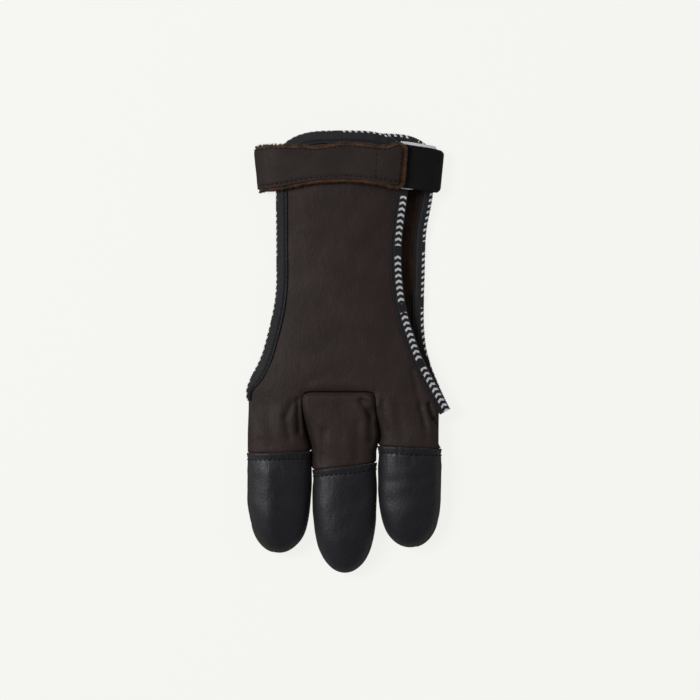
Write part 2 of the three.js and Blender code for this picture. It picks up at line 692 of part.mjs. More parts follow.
// A point of a layer's side edge
function pointAt(layer, side, y) {
  const x = layer[side](y);
  return new THREE.Vector3(x, y, handHeight(layer, x, y));
}

// A strip looped round the wrist. run: its path. middle: y of its middle line at x.
// inset: how far it lies inside the path.
function looped({ run, reach, crown, thickness, width, middle, inset = 0 }) {
  const path = run.map(({ across, height }) => new THREE.Vector2(across * reach, height * crown));
  const turn = Math.sign(path[1].x - path[0].x);
  const stations = path.map((p, i) => {
    const run = path[Math.min(i + 1, path.length - 1)].clone().sub(path[Math.max(i - 1, 0)]).normalize();
    const inward = new THREE.Vector2(run.y, -run.x).multiplyScalar(turn);
    return (across, depth) => {
      const q = p.clone().addScaledVector(inward, inset + depth);
      return new THREE.Vector3(q.x, middle(p.x) + across * width, Math.max(q.y, 0));
    };
  });
  const half = thickness / 2;
  const outline = [[-0.5, -half], [0.5, -half], [0.5, half], [-0.5, half]];
  if (turn > 0) outline.reverse();
  return carried(outline, stations);
}

function piece(name, geometry, color, roughness) {
  const mesh = new THREE.Mesh(geometry, new THREE.MeshStandardMaterial({ color, roughness }));
  mesh.name = name;
  return mesh;
}

const STRAP = {
  reach: STRAP_LEFT,
  crown: STRAP_CROWN,
  middle: (x) => STRAP_PLACE + STRAP_BOW * (1 - (x / STRAP_LEFT) ** 2),
};
const BAND = {
  reach: ELASTIC_RIGHT,
  crown: ELASTIC_CROWN,
  middle: (x) => STRAP_PLACE + STRAP_BOW / 3 - ELASTIC_SLANT * (x - ELASTIC_RIGHT / 2),
};
const labelInset = (ELASTIC + LABEL) / 2 + FIT_GAP;

const glove = new THREE.Group();
glove.add(
  piece("back_panel", backPanel(), LEATHER_BROWN, 0.7),
  piece("middle_insert", middleInsert(), LEATHER_BROWN, 0.7),
  piece("palm_panel", palmPanel(), LEATHER_BROWN, 0.7),
  piece("ring_cap", capGeometry(FINGERS.ring), CAP_BLACK, 0.45),
  piece("middle_cap", capGeometry(FINGERS.middle), CAP_BLACK, 0.45),
  piece("index_cap", capGeometry(FINGERS.index), CAP_BLACK, 0.45),
  piece("back_binding", binding(BACK), TAPE_BLACK, 0.6),
  piece("palm_binding", binding(PALM), TAPE_BLACK, 0.6),
  piece(
    "wrist_strap",
    looped({ ...STRAP, run: STRAP_RUN, thickness: STRAP_LEATHER, width: STRAP_WIDTH }),
    STRAP_BROWN,
    0.7,
  ),
  piece(
    "elastic_band",
    looped({ ...BAND, run: ELASTIC_RUN, thickness: ELASTIC, width: ELASTIC_WIDTH }),
    ELASTIC_BLACK,
    0.8,
  ),
  piece(
    "label",
    looped({ ...BAND, run: LABEL_RUN, thickness: LABEL, width: LABEL_LENGTH, inset: labelInset }),
    LABEL_WHITE,
    0.6,
  ),
);

// The origin is the middle of the footprint, on the surface.
const box = new THREE.Box3().setFromObject(glove);
const middle = box.getCenter(new THREE.Vector3());
for (const mesh of glove.children) mesh.geometry.translate(-middle.x, -middle.y, -box.min.z);

export default glove;
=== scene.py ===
"""Three-finger archery glove in dark leather for the right hand, lying on its palm.

Sizes are in millimetres, measured from the knuckle seam (+y towards the wrist) and from the middle
finger's axis (+x towards the thumb), with z up from the surface. `here` turns them into the frame's
metres.
"""

from __future__ import annotations

import logging
import math
import random
from dataclasses import dataclass, field
from enum import Enum
from functools import partial
from typing import Callable, Mapping, Sequence

import bmesh
import bpy
from mathutils import Matrix, Vector, noise

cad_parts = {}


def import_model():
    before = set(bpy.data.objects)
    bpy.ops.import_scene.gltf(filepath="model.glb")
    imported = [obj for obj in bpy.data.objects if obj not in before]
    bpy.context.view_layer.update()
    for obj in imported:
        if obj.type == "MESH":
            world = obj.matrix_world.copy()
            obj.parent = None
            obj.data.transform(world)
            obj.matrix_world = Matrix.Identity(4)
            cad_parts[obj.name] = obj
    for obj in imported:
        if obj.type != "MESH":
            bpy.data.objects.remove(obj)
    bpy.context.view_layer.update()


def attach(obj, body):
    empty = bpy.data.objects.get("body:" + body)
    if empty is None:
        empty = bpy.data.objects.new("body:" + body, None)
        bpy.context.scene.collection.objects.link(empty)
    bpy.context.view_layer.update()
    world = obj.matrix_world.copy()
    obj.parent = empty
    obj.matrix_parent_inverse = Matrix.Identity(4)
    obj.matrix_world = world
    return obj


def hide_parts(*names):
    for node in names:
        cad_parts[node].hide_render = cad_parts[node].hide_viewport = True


log = logging.getLogger("archery_glove")

MM = 0.001
CENTRE = (1.358, 20.5)  # the frame's origin in the glove's own millimetres
HAND_LENGTH = 135.0  # knuckle seam to the top of the wrist edge
HAND_WALL = 1.2  # thickness of the hand's leathers
TAPE_ROOM = 0.9  # how far the bound edges are drawn in for the tape's fold
UV_NAME = "cloth"

Table = Sequence[tuple[float, float]]
Place = tuple[float, float]
Spot = tuple[float, float, float]
Sides = Callable[[float], Place]
Socket = bpy.types.NodeSocket


def smooth(value: float, start: float, end: float) -> float:
    """A soft step.

    Args:
        value: Where it is read.
        start: Up to here it is 0.
        end: From here on it is 1.

    Returns:
        The step's height there, 0 to 1.
    """
    t = min(max((value - start) / (end - start), 0.0), 1.0)
    return t * t * (3 - 2 * t)


def mix(first: float, second: float, share: float) -> float:
    """The number at a share of the way from one to another."""
    return first + (second - first) * share


def dip(distance: float, width: float) -> float:
    """A soft hollow's depth, 0 to 1, at a distance from its middle; at its width a third is left."""
    return math.exp(-((distance / width) ** 2))


def follow(table: Table, at: float) -> float:
    """A smooth curve through a table's rows.

    Args:
        table: Rows of place and value.
        at: The place where it is read.

    Returns:
        The value there.
    """
    last = len(table) - 1
    i = 0
    while i < last - 1 and at > table[i + 1][0]:
        i += 1

    def slope(k: int) -> float:
        """The curve's slope at a row."""
        (x0, y0), (x1, y1) = table[max(k - 1, 0)], table[min(k + 1, last)]
        return (y1 - y0) / (x1 - x0)

    (x0, y0), (x1, y1) = table[i], table[i + 1]
    span = x1 - x0
    t = min(max((at - x0) / span, 0.0), 1.0)
    rest = 1 - t
    bend = span * t * rest * (slope(i) * rest - slope(i + 1) * t)
    return y0 * (1 + 2 * t) * rest * rest + y1 * t * t * (3 - 2 * t) + bend


def here(x: float, y: float, z: float) -> Vector:
    """A place given in the glove's own millimetres, in the frame's metres."""
    return Vector(((x - CENTRE[0]) * MM, (y - CENTRE[1]) * MM, z * MM))


def uneven(x: float, y: float, size: float, seed: float = 0.0) -> float:
    """Soft unevenness, about -1 to 1, in waves of a size; the seed moves to another part of it."""
    return noise.noise(Vector((x / size, y / size, seed)))


# ---------------------------------------------------------------- materials


def linear(hex_colour: int) -> tuple[float, float, float, float]:
    """An sRGB hex colour as Blender's linear colour.

    Args:
        hex_colour: Such as 0x312c2b.

    Returns:
        Red, green, blue and alpha.
    """
    parts = [((hex_colour >> shift) & 255) / 255 for shift in (16, 8, 0)]
    red, green, blue = (c / 12.92 if c <= 0.04045 else ((c + 0.055) / 1.055) ** 2.4 for c in parts)
    return (red, green, blue, 1.0)


@dataclass(frozen=True)
class Nodes:
    """A node tree that is being built. Its methods add a node and return one of its outputs."""

    tree: bpy.types.NodeTree

    def add(
        self,
        kind: str,
        inputs: Mapping[str | int, object] | None = None,
        out: str | int = 0,
        **settings: object,
    ) -> Socket | None:
        """Adds a node with its settings, values and links.

        Args:
            kind: The node's type, without its prefix.
            inputs: Value, or another node's output, for each named or numbered input.
            out: Which output is wanted.
            **settings: The node's own properties.

        Returns:
            That output, or None for a node without outputs.
        """
        node = self.tree.nodes.new(f"ShaderNode{kind}")
        for key, value in settings.items():
            setattr(node, key, value)
        for key, value in (inputs or {}).items():
            if isinstance(value, Socket):
                self.tree.links.new(value, node.inputs[key])
            else:
                node.inputs[key].default_value = value
        return node.outputs[out] if len(node.outputs) else None

    def place(self) -> Socket:
        """Object coordinates."""
        return self.add("TexCoord", out="Object")

    def maths(self, operation: str, first: object, second: object = 0.0) -> Socket:
        """One step of arithmetic."""
        return self.add("Math", {0: first, 1: second}, operation=operation)

    def ramp(self, value: Socket, ends: Place, low: float = 0.0, high: float = 1.0) -> Socket:
        """A value's range between two ends, stretched to run from low to high."""
        return self.add(
            "MapRange",
            {"Value": value, "From Min": ends[0], "From Max": ends[1], "To Min": low, "To Max": high},
        )

    def cloud(
        self,
        place: Socket,
        size: float,
        detail: float,
        roughness: float = 0.5,
        distortion: float = 0.0,
    ) -> Socket:
        """Adds noise.

        Args:
            place: The coordinates.
            size: About the length of one wave in millimetres.
            detail: How many finer waves are added.
            roughness: How strong those are.
            distortion: How much the pattern is pushed about.

        Returns:
            The noise, 0 to 1.
        """
        inputs = {"Vector": place, "Scale": 1 / (size * MM), "Detail": detail}
        return self.add("TexNoise", {**inputs, "Roughness": roughness, "Distortion": distortion})

    def bands(
        self, place: Socket, size: float, distortion: float, way: str, detail_scale: float = 1.0
    ) -> Socket:
        """Adds parallel waves.

        Args:
            place: The coordinates.
            size: Length of one wave in the coordinates' unit.
            distortion: How much the waves are bent.
            way: The direction that they follow each other in.
            detail_scale: Fineness of the bends.

        Returns:
            The waves' height, 0 to 1.
        """
        inputs = {"Vector": place, "Scale": math.tau / (20 * size), "Distortion": distortion}
        inputs["Detail Scale"] = detail_scale
        return self.add("TexWave", inputs, 1, wave_type="BANDS", bands_direction=way)

    def blend(self, share: Socket, first: int | Socket, second: int | Socket) -> Socket:
        """Mixes two colours, given as hex numbers or as other nodes' outputs."""
        one, two = (linear(tint) if isinstance(tint, int) else tint for tint in (first, second))
        return self.add("Mix", {0: share, 6: one, 7: two}, 2, data_type="RGBA")

    def bump(self, height: Socket, depth: float, under: Socket | None = None) -> Socket:
        """Adds relief of a depth in millimetres, over another relief where one is given."""
        inputs = {"Height": height, "Strength": 1.0, "Distance": depth * MM}
        return self.add("Bump", inputs if under is None else {**inputs, "Normal": under})

    def principled(
        self, colour: Socket, roughness: float | Socket, specular: float, normal: Socket, **more: float
    ) -> None:
        """Adds the shader and links it to the output.

        Args:
            colour: Its base colour.
            roughness: How dull it is.
            specular: How strongly it reflects.
            normal: Its relief.
            **more: Further inputs, with low lines for the spaces of their names.
        """
        inputs = {"Base Color": colour, "Roughness": roughness, "Specular IOR Level": specular}
        further = {name.replace("_", " "): value for name, value in more.items()}
        inputs = {**inputs, "IOR": 1.5, "Normal": normal, **further}
        self.finish(self.add("BsdfPrincipled", inputs))

    def finish(self, shader: Socket) -> None:
        """Links a shader to the material's output."""
        self.add("OutputMaterial", {"Surface": shader})


@dataclass(frozen=True)
class Coat:
    """One real finish; each kind of it paints its own nodes."""

    name: str

    def material(self) -> bpy.types.Material:
        """The finish's material, built when it is first asked for.

        Returns:
            The material.
        """
        made = bpy.data.materials.get(self.name)
        if made is None:
            made = bpy.data.materials.new(self.name)
            made.use_nodes = True
            made.node_tree.nodes.clear()
            self.paint(Nodes(made.node_tree))
        return made

    def paint(self, nodes: Nodes) -> None:
        """Lays out the material's nodes in its empty tree."""
        raise NotImplementedError


@dataclass(frozen=True)
class GrainLeather(Coat):
    """Drum-dyed grain leather: small pebbles with creases between them, and a soft broad sheen.

    The steep sides are coloured darker, which is painted shade, and made rough so that they take little
    grazing light.
    """

    colour: int
    worn: int
    # colour of the steep sides: painted shade
    side: int
    roughness: float
    pebble: float  # across one pebble of the grain
    pebble_depth: float
    crease: float  # spacing of the fine wrinkles
    crease_depth: float
    crease_stretch: Spot
    specular: float

    def paint(self, nodes: Nodes) -> None:
        """Builds the leather.

        Args:
            nodes: Its empty node tree.
        """
        place = nodes.place()
        facing = nodes.add("SeparateXYZ", {0: nodes.add("TexCoord", out="Normal")}, 2)
        # steepness, 1 on the sides: it blends in the painted shade of the side colour and raises the
        # roughness there
        side = nodes.ramp(nodes.maths("ABSOLUTE", facing), (0.3, 0.88), 1.0, 0.0)
        drawn = nodes.add("Mapping", {"Vector": place, "Scale": self.crease_stretch})
        creases = nodes.cloud(drawn, self.crease, 4.0, 0.62, 0.9)
        pores = nodes.cloud(place, self.pebble / 2, 3.0, 0.6)
        cells = {"Vector": place, "Scale": 1 / (self.pebble * MM), "Randomness": 1.0}
        pebbles = nodes.add("TexVoronoi", cells, feature="SMOOTH_F1")

        tint = nodes.ramp(nodes.cloud(place, 14, 3.0), (0.3, 0.7))
        speck = nodes.ramp(creases, (0.58, 0.78), 0.0, 0.55)
        colour = nodes.blend(nodes.maths("MAXIMUM", tint, speck), self.colour, self.worn)
        rubbed = nodes.ramp(creases, (0.3, 0.7), self.roughness + 0.06, self.roughness - 0.06)
        rough = nodes.add("Mix", {0: side, 2: rubbed, 3: 0.95})
        grain = nodes.bump(pebbles, self.pebble_depth, nodes.bump(pores, 0.5 * self.pebble_depth))
        wrinkled = nodes.bump(creases, self.crease_depth, grain)
        # painted shade: the colour turns to the side colour where the surface is steep
        nodes.principled(nodes.blend(side, colour, self.side), rough, self.specular, wrinkled)


@dataclass(frozen=True)
class Suede(Coat):
    """The napped flesh side of the leather: matt, with a short nap that is lighter where rubbed."""

    colour: int
    rubbed: int
    nap: float  # across one tuft
    depth: float

    def paint(self, nodes: Nodes) -> None:
        """Builds the suede.

        Args:
            nodes: Its empty node tree.
        """
        place = nodes.place()
        tufts = nodes.cloud(place, self.nap, 5.0, 0.75)
        light = nodes.ramp(nodes.maths("ADD", tufts, nodes.cloud(place, 5, 2.0)), (0.75, 1.3))
        colour = nodes.blend(light, self.colour, self.rubbed)
        relief = nodes.bump(tufts, self.depth)
        nodes.principled(colour, 0.95, 0.15, relief, IOR=1.45, Sheen_Weight=0.15, Sheen_Roughness=0.6)


@dataclass(frozen=True)
class WovenTape(Coat):
    """Satin-woven polyester binding tape: fine ribs across it, and a band of plain white woven bars.

    Its UV map runs across the tape from the band's middle, and along it.
    """

    colour: int
    shade: int  # where the satin is a little lighter
    thread: int
    rib: float  # spacing of the ribs, drawn about twice as coarse as real so that it shows
    band: float  # width of the woven band
    bar: float  # spacing of its bars
    group: float  # spacing of its groups of bars
    gap: float  # bare length between two groups

    def paint(self, nodes: Nodes) -> None:
        """Builds the tape.

        Args:
            nodes: Its empty node tree.
        """
        laid = nodes.add("UVMap", uv_map=UV_NAME)
        across, run = (nodes.add("SeparateXYZ", {0: laid}, axis) for axis in (0, 1))
        maths = nodes.maths
        off = maths("ABSOLUTE", across)
        in_band = maths("LESS_THAN", off, self.band / 2)
        slanted = maths("ADD", run, maths("MULTIPLY", off, 0.55))
        in_bar = maths("LESS_THAN", maths("FRACT", maths("DIVIDE", slanted, self.bar)), 0.42)
        length = maths("FRACT", maths("DIVIDE", run, self.group))
        in_group = maths("LESS_THAN", length, 1 - self.gap / self.group)
        mark = maths("MULTIPLY", maths("MULTIPLY", in_band, in_bar), in_group)
        wave = maths("SINE", maths("MULTIPLY", run, math.tau / self.rib))
        weft = maths("SINE", maths("MULTIPLY", across, math.tau / (0.8 * self.rib)))
        woven = maths("ADD", maths("MULTIPLY", wave, 0.7), maths("MULTIPLY", weft, 0.3))
        fuzz = nodes.cloud(nodes.place(), 0.5, 3.0)
        faded = maths("MULTIPLY", mark, maths("ADD", maths("MULTIPLY", fuzz, 0.5), 0.62))
        colour = nodes.blend(faded, nodes.blend(fuzz, self.colour, self.shade), self.thread)
        relief = nodes.bump(woven, 0.05, nodes.bump(fuzz, 0.05))
        nodes.principled(colour, 0.6, 0.28, relief, Sheen_Weight=0.03, Sheen_Roughness=0.4)


@dataclass(frozen=True)
class RibbedWebbing(Coat):
    """Knitted elastic or satin ribbon: ribs that run across the band, coloured darker in the valleys
    between them.

    Its UV map runs across it and along it.
    """

    colour: int
    valley: int
    rib: float
    depth: float
    roughness: float

    def paint(self, nodes: Nodes) -> None:
        """Builds the webbing.

        Args:
            nodes: Its empty node tree.
        """
        laid = nodes.add("UVMap", uv_map=UV_NAME)
        ribs = nodes.bands(laid, self.rib, 0.6, "Y", 3.0)
        weft = nodes.bands(laid, 0.6 * self.rib, 0.8, "DIAGONAL")
        relief = nodes.bump(nodes.maths("ADD", ribs, weft), self.depth)
        nodes.principled(nodes.blend(ribs, self.valley, self.colour), self.roughness, 0.2, relief)


@dataclass(frozen=True)
class SewingThread(Coat):
    """Bonded polyester thread: black, slightly glossy, with the twist of its plies."""

    colour: int
    light: int

    def paint(self, nodes: Nodes) -> None:
        """Builds the thread.

        Args:
            nodes: Its empty node tree.
        """
        plies = nodes.bands(nodes.place(), 0.4 * MM, 1.0, "DIAGONAL")
        colour = nodes.blend(plies, self.colour, self.light)
        nodes.principled(colour, 0.5, 0.2, nodes.bump(plies, 0.04))


@dataclass(frozen=True)
class LightTable(Coat):
    """A pale sheet lit from below as well, as for product pictures: hardly any shadow shows on it."""

    colour: int
    glow: float  # share of its brightness that comes from below

    def paint(self, nodes: Nodes) -> None:
        """Builds the sheet.

        Args:
            nodes: Its empty node tree.
        """
        shade = nodes.add("BsdfDiffuse", {"Color": (0.1, 0.1, 0.0985, 1.0), "Roughness": 0.5})
        lit = nodes.add("Emission", {"Color": linear(self.colour), "Strength": self.glow})
        nodes.finish(nodes.add("AddShader", {0: shade, 1: lit}))


class Finish(Enum):
    """The glove's finishes."""

    # In each leather the third colour is the painted shade of its steep sides
    # Brown nappa: gives an even dark brown with a faint grey bloom and hardly any gloss
    HAND = GrainLeather(
        "nappa_leather_brown", 0x29201D, 0x312724, 0x201816, 0.6, 1.1, 0.075,
        2.7, 0.34, (1.0, 0.6, 1.0), 0.17,
    )
    # Black calf: a smoother, closer grain that takes a soft broad highlight
    CAP = GrainLeather(
        "calf_leather_black", 0x16161B, 0x1D1D23, 0x0B0B0E, 0.46, 1.0, 0.055,
        2.4, 0.17, (1.3, 0.45, 1.0), 0.34,
    )
    # The strap's grain leather: as the hand's, a little redder
    STRAP = GrainLeather(
        "strap_leather_brown", 0x271F1D, 0x2E2523, 0x1F1715, 0.62, 1.1, 0.075,
        2.6, 0.3, (0.6, 1.0, 1.0), 0.15,
    )
    # The napped inner sides; the strap's raw edges, lighter where they are cut; the calf's cut edge
    LINING = Suede("suede_flesh_side", 0x0F0905, 0x361F10, 0.5, 0.35)
    RAW_EDGE = Suede("suede_raw_edge", 0x180D07, 0x6A441F, 0.5, 0.6)
    CUT_EDGE = Suede("calf_cut_edge", 0x3A2C24, 0x6E5A4C, 0.6, 0.1)
    # Black satin tape with white bars
    TAPE = WovenTape("polyester_binding_tape", 0x101013, 0x1C1C20, 0xD9D9DE, 0.62, 3.3, 3.1, 30.0, 4.4)
    # Black knitted elastic, and the white satin ribbon of the plain label
    ELASTIC = RibbedWebbing("knitted_elastic", 0x0F1010, 0x070808, 1.1, 0.12, 0.85)
    LABEL = RibbedWebbing("white_satin_ribbon", 0xE9E7EE, 0xD5D3DC, 0.5, 0.02, 0.45)
    # Black polyester thread
    THREAD = SewingThread("bonded_polyester_thread", 0x070708, 0x101011)
    # The pale table under the glove
    PAPER = LightTable("light_table", 0xF5F5F1, 0.925)

    def material(self) -> bpy.types.Material:
        """The finish's material."""
        return self.value.material()


# ---------------------------------------------------------------- meshes


def lay(
    bm: bmesh.types.BMesh,
    columns: int,
    rows: int,
    shape: Callable[[float, float], Vector],
    cloth: Callable[[float, float], Place],
) -> None:
    """Lays a grid of leather or webbing into a mesh.

    Args:
        bm: The mesh.
        columns: Faces across.
        rows: Faces along.
        shape: The place of a point given by its shares across and along.
        cloth: The same point on the flat cloth, in millimetres, for the UV map.
    """
    uv = bm.loops.layers.uv.get(UV_NAME) or bm.loops.layers.uv.new(UV_NAME)
    made = bmesh.ops.create_grid(bm, x_segments=columns, y_segments=rows, size=0.5)["verts"]
    shares = {vert: (vert.co.x + 0.5, vert.co.y + 0.5) for vert in made}
    for face in {face for vert in made for face in vert.link_faces}:
        for loop in face.loops:
            loop[uv].uv = cloth(*shares[loop.vert])
    for vert, (across, along) in shares.items():
        vert.co = shape(across, along)


def weld(bm: bmesh.types.BMesh) -> None:
    """Joins the points where grids meet, and at seams and poles."""
    bmesh.ops.remove_doubles(bm, verts=bm.verts, dist=0.004 * MM)


def dress(
    bm: bmesh.types.BMesh,
    name: str,
    finishes: Sequence[Finish],
    replaced: Sequence[str] = (),
    wall: float = 0.0,
    inside: int = 0,
    rim: int = 0,
) -> bpy.types.Object:
    """Turns a mesh into a finished piece of the glove.

    Args:
        bm: The mesh, in the frame's metres; it is freed.
        name: The piece's name.
        finishes: The piece's finishes, the outer one first.
        replaced: The part's nodes that it stands for.
        wall: Thickness laid inwards, in millimetres; 0 where the mesh is closed.
        inside: How far down the list the inner side's finish is.
        rim: How far down the list the cut edge's finish is.

    Returns:
        The piece.
    """
    mesh = bpy.data.meshes.new(name)
    for face in bm.faces:
        face.smooth = True
    bm.to_mesh(mesh)
    bm.free()
    for finish in finishes:
        mesh.materials.append(finish.material())
    piece = bpy.data.objects.new(name, mesh)
    bpy.context.collection.objects.link(piece)
    if wall:
        thick = piece.modifiers.new("wall", "SOLIDIFY")
        thick.thickness = wall * MM
        thick.offset = -1.0
        thick.material_offset = inside
        thick.material_offset_rim = rim
    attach(piece, "root")
    if replaced:
        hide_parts(*replaced)
    log.info("%s: %d faces laid, %s", name, len(mesh.polygons), ", ".join(f.name for f in finishes))
    return piece


@dataclass(frozen=True)
class Stitch:
    """One kind of sewn stitch."""

    length: float
    pitch: float
    radius: float
    proud: float = 0.15  # share of its radius that its middle stands over the leather

    def sew(self, bm: bmesh.types.BMesh, line: Sequence[Vector], up: Callable[[int], Vector]) -> int:
        """Sews stitches along a line.

        Args:
            bm: The mesh that they go into.
            line: Close points along the seam, in metres.
            up: The leather's outward direction at a point of the line, by its number.

        Returns:
            How many stitches were sewn.
        """
        gone, due, count = 0.0, self.pitch * MM / 2, 0
        for i in range(1, len(line)):
            gone += (line[i] - line[i - 1]).length
            if gone < due:
                continue
            due += self.pitch * MM
            ahead = (line[i] - line[i - 1]).normalized()
            out = (up(i) - ahead * up(i).dot(ahead)).normalized()
            turn = Matrix((ahead, out.cross(ahead), out)).transposed().to_4x4()
            size = Matrix.Diagonal(Vector((self.length / 2, self.radius, self.radius, 1000.0)) * MM)
            at = Matrix.Translation(line[i] + out * self.radius * self.proud * MM)
            place = at @ turn @ size
            bmesh.ops.create_uvsphere(bm, u_segments=6, v_segments=6, radius=1.0, matrix=place)
            count += 1
        return count


# ---------------------------------------------------------------- the hand


@dataclass(frozen=True)
class Fold:
    """A soft fold pressed into the leather along a line; a negative depth is a ridge."""

    start: Place
    end: Place
    width: float
    depth: float

    def press(self, x: float, y: float) -> float:
        """How deep the leather is pressed in at a place.

        Args:
            x: Millimetres.
            y: Millimetres.

        Returns:
            The depth in millimetres.
        """
        (x0, y0), (x1, y1) = self.start, self.end
        run = (x1 - x0, y1 - y0)
        share = ((x - x0) * run[0] + (y - y0) * run[1]) / (run[0] ** 2 + run[1] ** 2)
        t = min(max(share, 0.0), 1.0)
        away = math.hypot(x - x0 - run[0] * t, y - y0 - run[1] * t)
        return self.depth * dip(away, self.width)


@dataclass(frozen=True)
class Finger:
    """One finger of the glove."""

    name: str
    axis: float
    width: float
    sleeve: float  # knuckle seam to the cap's mouth
    cap: float  # the cap's length
    bluntness: float  # how square the fingertip is from above; 2 is an ellipse
    tilt: float  # how much further the mouth runs down the finger on its thumb side
    seed: float

    @property
    def valleys(self) -> tuple[bool, bool]:
        """Which of its sides, left and right, lie next to another finger."""
        return self.name != "ring", self.name != "index"


RING = Finger("ring", -34.0, 33.0, 31.6, 52.0, 4.1, -0.5, 3.1)
MIDDLE = Finger("middle", 0.0, 32.8, 38.8, 55.2, 4.1, -1.9, 7.7)
INDEX = Finger("index", 33.75, 32.5, 29.0, 51.8, 4.6, 0.7, 12.4)
OUTER_LEFT = RING.axis - RING.width / 2
OUTER_RIGHT = INDEX.axis + INDEX.width / 2
BETWEEN = 16.95  # from the middle finger's axis to the cuts beside it


@dataclass(frozen=True)
class Layer:
    """One leather of the hand: over the back, or under the palm."""

    face: int  # 1 looks up, -1 down
    waist: Place
    left_edge: Table
    right_edge: Table
    corners: float  # how square the wrist edge's corners are
    length: float  # knuckle seam to the top of the wrist edge, less the tape
    cuts: Place
    seam: float  # height of the side seams
    sleeve: float  # height of the sleeves
    crown: Spot  # height at the knuckles, along the hand, and its rise at the wrist
    edge: Spot  # the same for its edges
    rise_power: float  # shape of a finger's cross-section
    rise_root: float
    wrist_drop: float = 9.0  # how far the wrist edge curves down to its corners

    def left(self, y: float) -> float:
        """The leather's left edge at a place along the hand."""
        return TAPE_ROOM - mix(self.waist[0], -OUTER_LEFT, follow(self.left_edge, y / HAND_LENGTH))

    def right(self, y: float) -> float:
        """The leather's right edge at a place along the hand."""
        return mix(self.waist[1], OUTER_RIGHT, follow(self.right_edge, y / HAND_LENGTH)) - TAPE_ROOM

    def wrist(self, u: float) -> float:
        """The wrist edge at a place across, -1 to 1."""
        return self.length - self.wrist_drop * abs(u) ** self.corners

    def rise(self, across: float) -> float:
        """A finger's height from its seam to its crown, 0 to 1, at a share of its width."""
        side = min(abs(2 * across - 1), 1.0)
        return max(1 - side**self.rise_power, 0.0) ** self.rise_root

    def height(self, x: float, y: float) -> float:
        """Height of the leather's outer face over the hand.

        Args:
            x: Millimetres.
            y: Millimetres.

        Returns:
            Its height over the surface in millimetres.
        """
        along = y / HAND_LENGTH
        left, right = self.left(y), self.right(y)
        u = min(abs(2 * (x - left) / (right - left) - 1), 1.0)
        wristward = smooth(along, 0.55, 0.78)
        slope = smooth(along, 0, 0.3)
        crown = mix(self.crown[0], self.crown[1], slope) + self.crown[2] * wristward
        edge = mix(self.edge[0], self.edge[1] + self.edge[2] * wristward, smooth(along, 0, 0.15))
        return mix(crown, edge, u ** mix(3.4, 2.2, slope))


BACK = Layer(
    face=1,
    waist=(35.8, 29.6),
    left_edge=(
        (-0.035, 1.02), (0.004, 1.07), (0.036, 0.97), (0.064, 0.85), (0.09, 0.72), (0.12, 0.585),
        (0.15, 0.475), (0.18, 0.4), (0.21, 0.325), (0.24, 0.255), (0.29, 0.145), (0.34, 0.06),
        (0.4, 0.0), (0.53, -0.01), (0.77, 0.0), (0.86, 0.0), (0.93, -0.06),
    ),
    right_edge=(
        (-0.035, 1.11), (0.024, 0.89), (0.084, 0.675), (0.14, 0.495), (0.198, 0.36), (0.257, 0.23),
        (0.32, 0.12), (0.375, 0.06), (0.46, 0.01), (0.55, 0.0), (0.64, 0.05), (0.77, 0.16),
        (0.86, 0.18), (0.93, 0.13),
    ),
    corners=3.9,
    length=134.1,
    cuts=(-22.2, 15.9),
    seam=5.75,
    sleeve=13.6,
    crown=(13.2, 12.0, 1.6),
    edge=(7.85, 7.8, 2.8),
    rise_power=2.2,
    rise_root=0.45,
)
PALM = Layer(
    face=-1,
    waist=(33.0, 40.7),
    left_edge=(
        (-0.035, 1.02), (0.004, 1.06), (0.036, 0.96), (0.064, 0.83), (0.09, 0.71), (0.12, 0.585),
        (0.15, 0.475), (0.18, 0.39), (0.24, 0.25), (0.29, 0.15), (0.34, 0.08), (0.4, 0.03),
        (0.86, 0.02), (0.93, -0.05),
    ),
    right_edge=(
        (-0.035, 1.28), (0.0, 1.04), (0.024, 0.89), (0.049, 0.74), (0.087, 0.52), (0.125, 0.34),
        (0.163, 0.2), (0.202, 0.12), (0.26, 0.06), (0.345, 0.06), (0.44, 0.1), (0.53, 0.13),
        (0.61, 0.18), (0.66, 0.29), (0.7, 0.41), (0.74, 0.52), (0.8, 0.62), (0.86, 0.66), (0.93, 0.56),
    ),
    corners=5.5,
    length=133.6,
    cuts=(-BETWEEN, BETWEEN),
    seam=5.45,
    sleeve=0.4,
    crown=(1.1, 1.1, 2.1),
    edge=(3.35, 1.1, 2.1),
    rise_power=4.5,
    rise_root=0.55,
)

# Sides of the middle finger's insert by distance below the knuckle seam
INSERT_LEFT = (
    (0.0, -22.2), (3.9, -22.3), (10.5, -21.7), (18.2, -20.2), (22.5, -19.2), (26.4, -18.0),
    (28.7, -17.55), (33.0, -17.45), (37.0, -17.4), (39.5, -17.2), (41.0, -16.8),
)
INSERT_RIGHT = (
    (0.0, 15.9), (3.9, 15.7), (10.5, 16.1), (18.2, 17.6), (22.5, 18.2), (26.4, 17.45),
    (28.4, 17.2), (30.5, 16.6), (33.0, 16.4), (38.8, 16.4),
)
SEAM_GAP = 0.16  # half the shadow line between two leathers sewn edge to edge

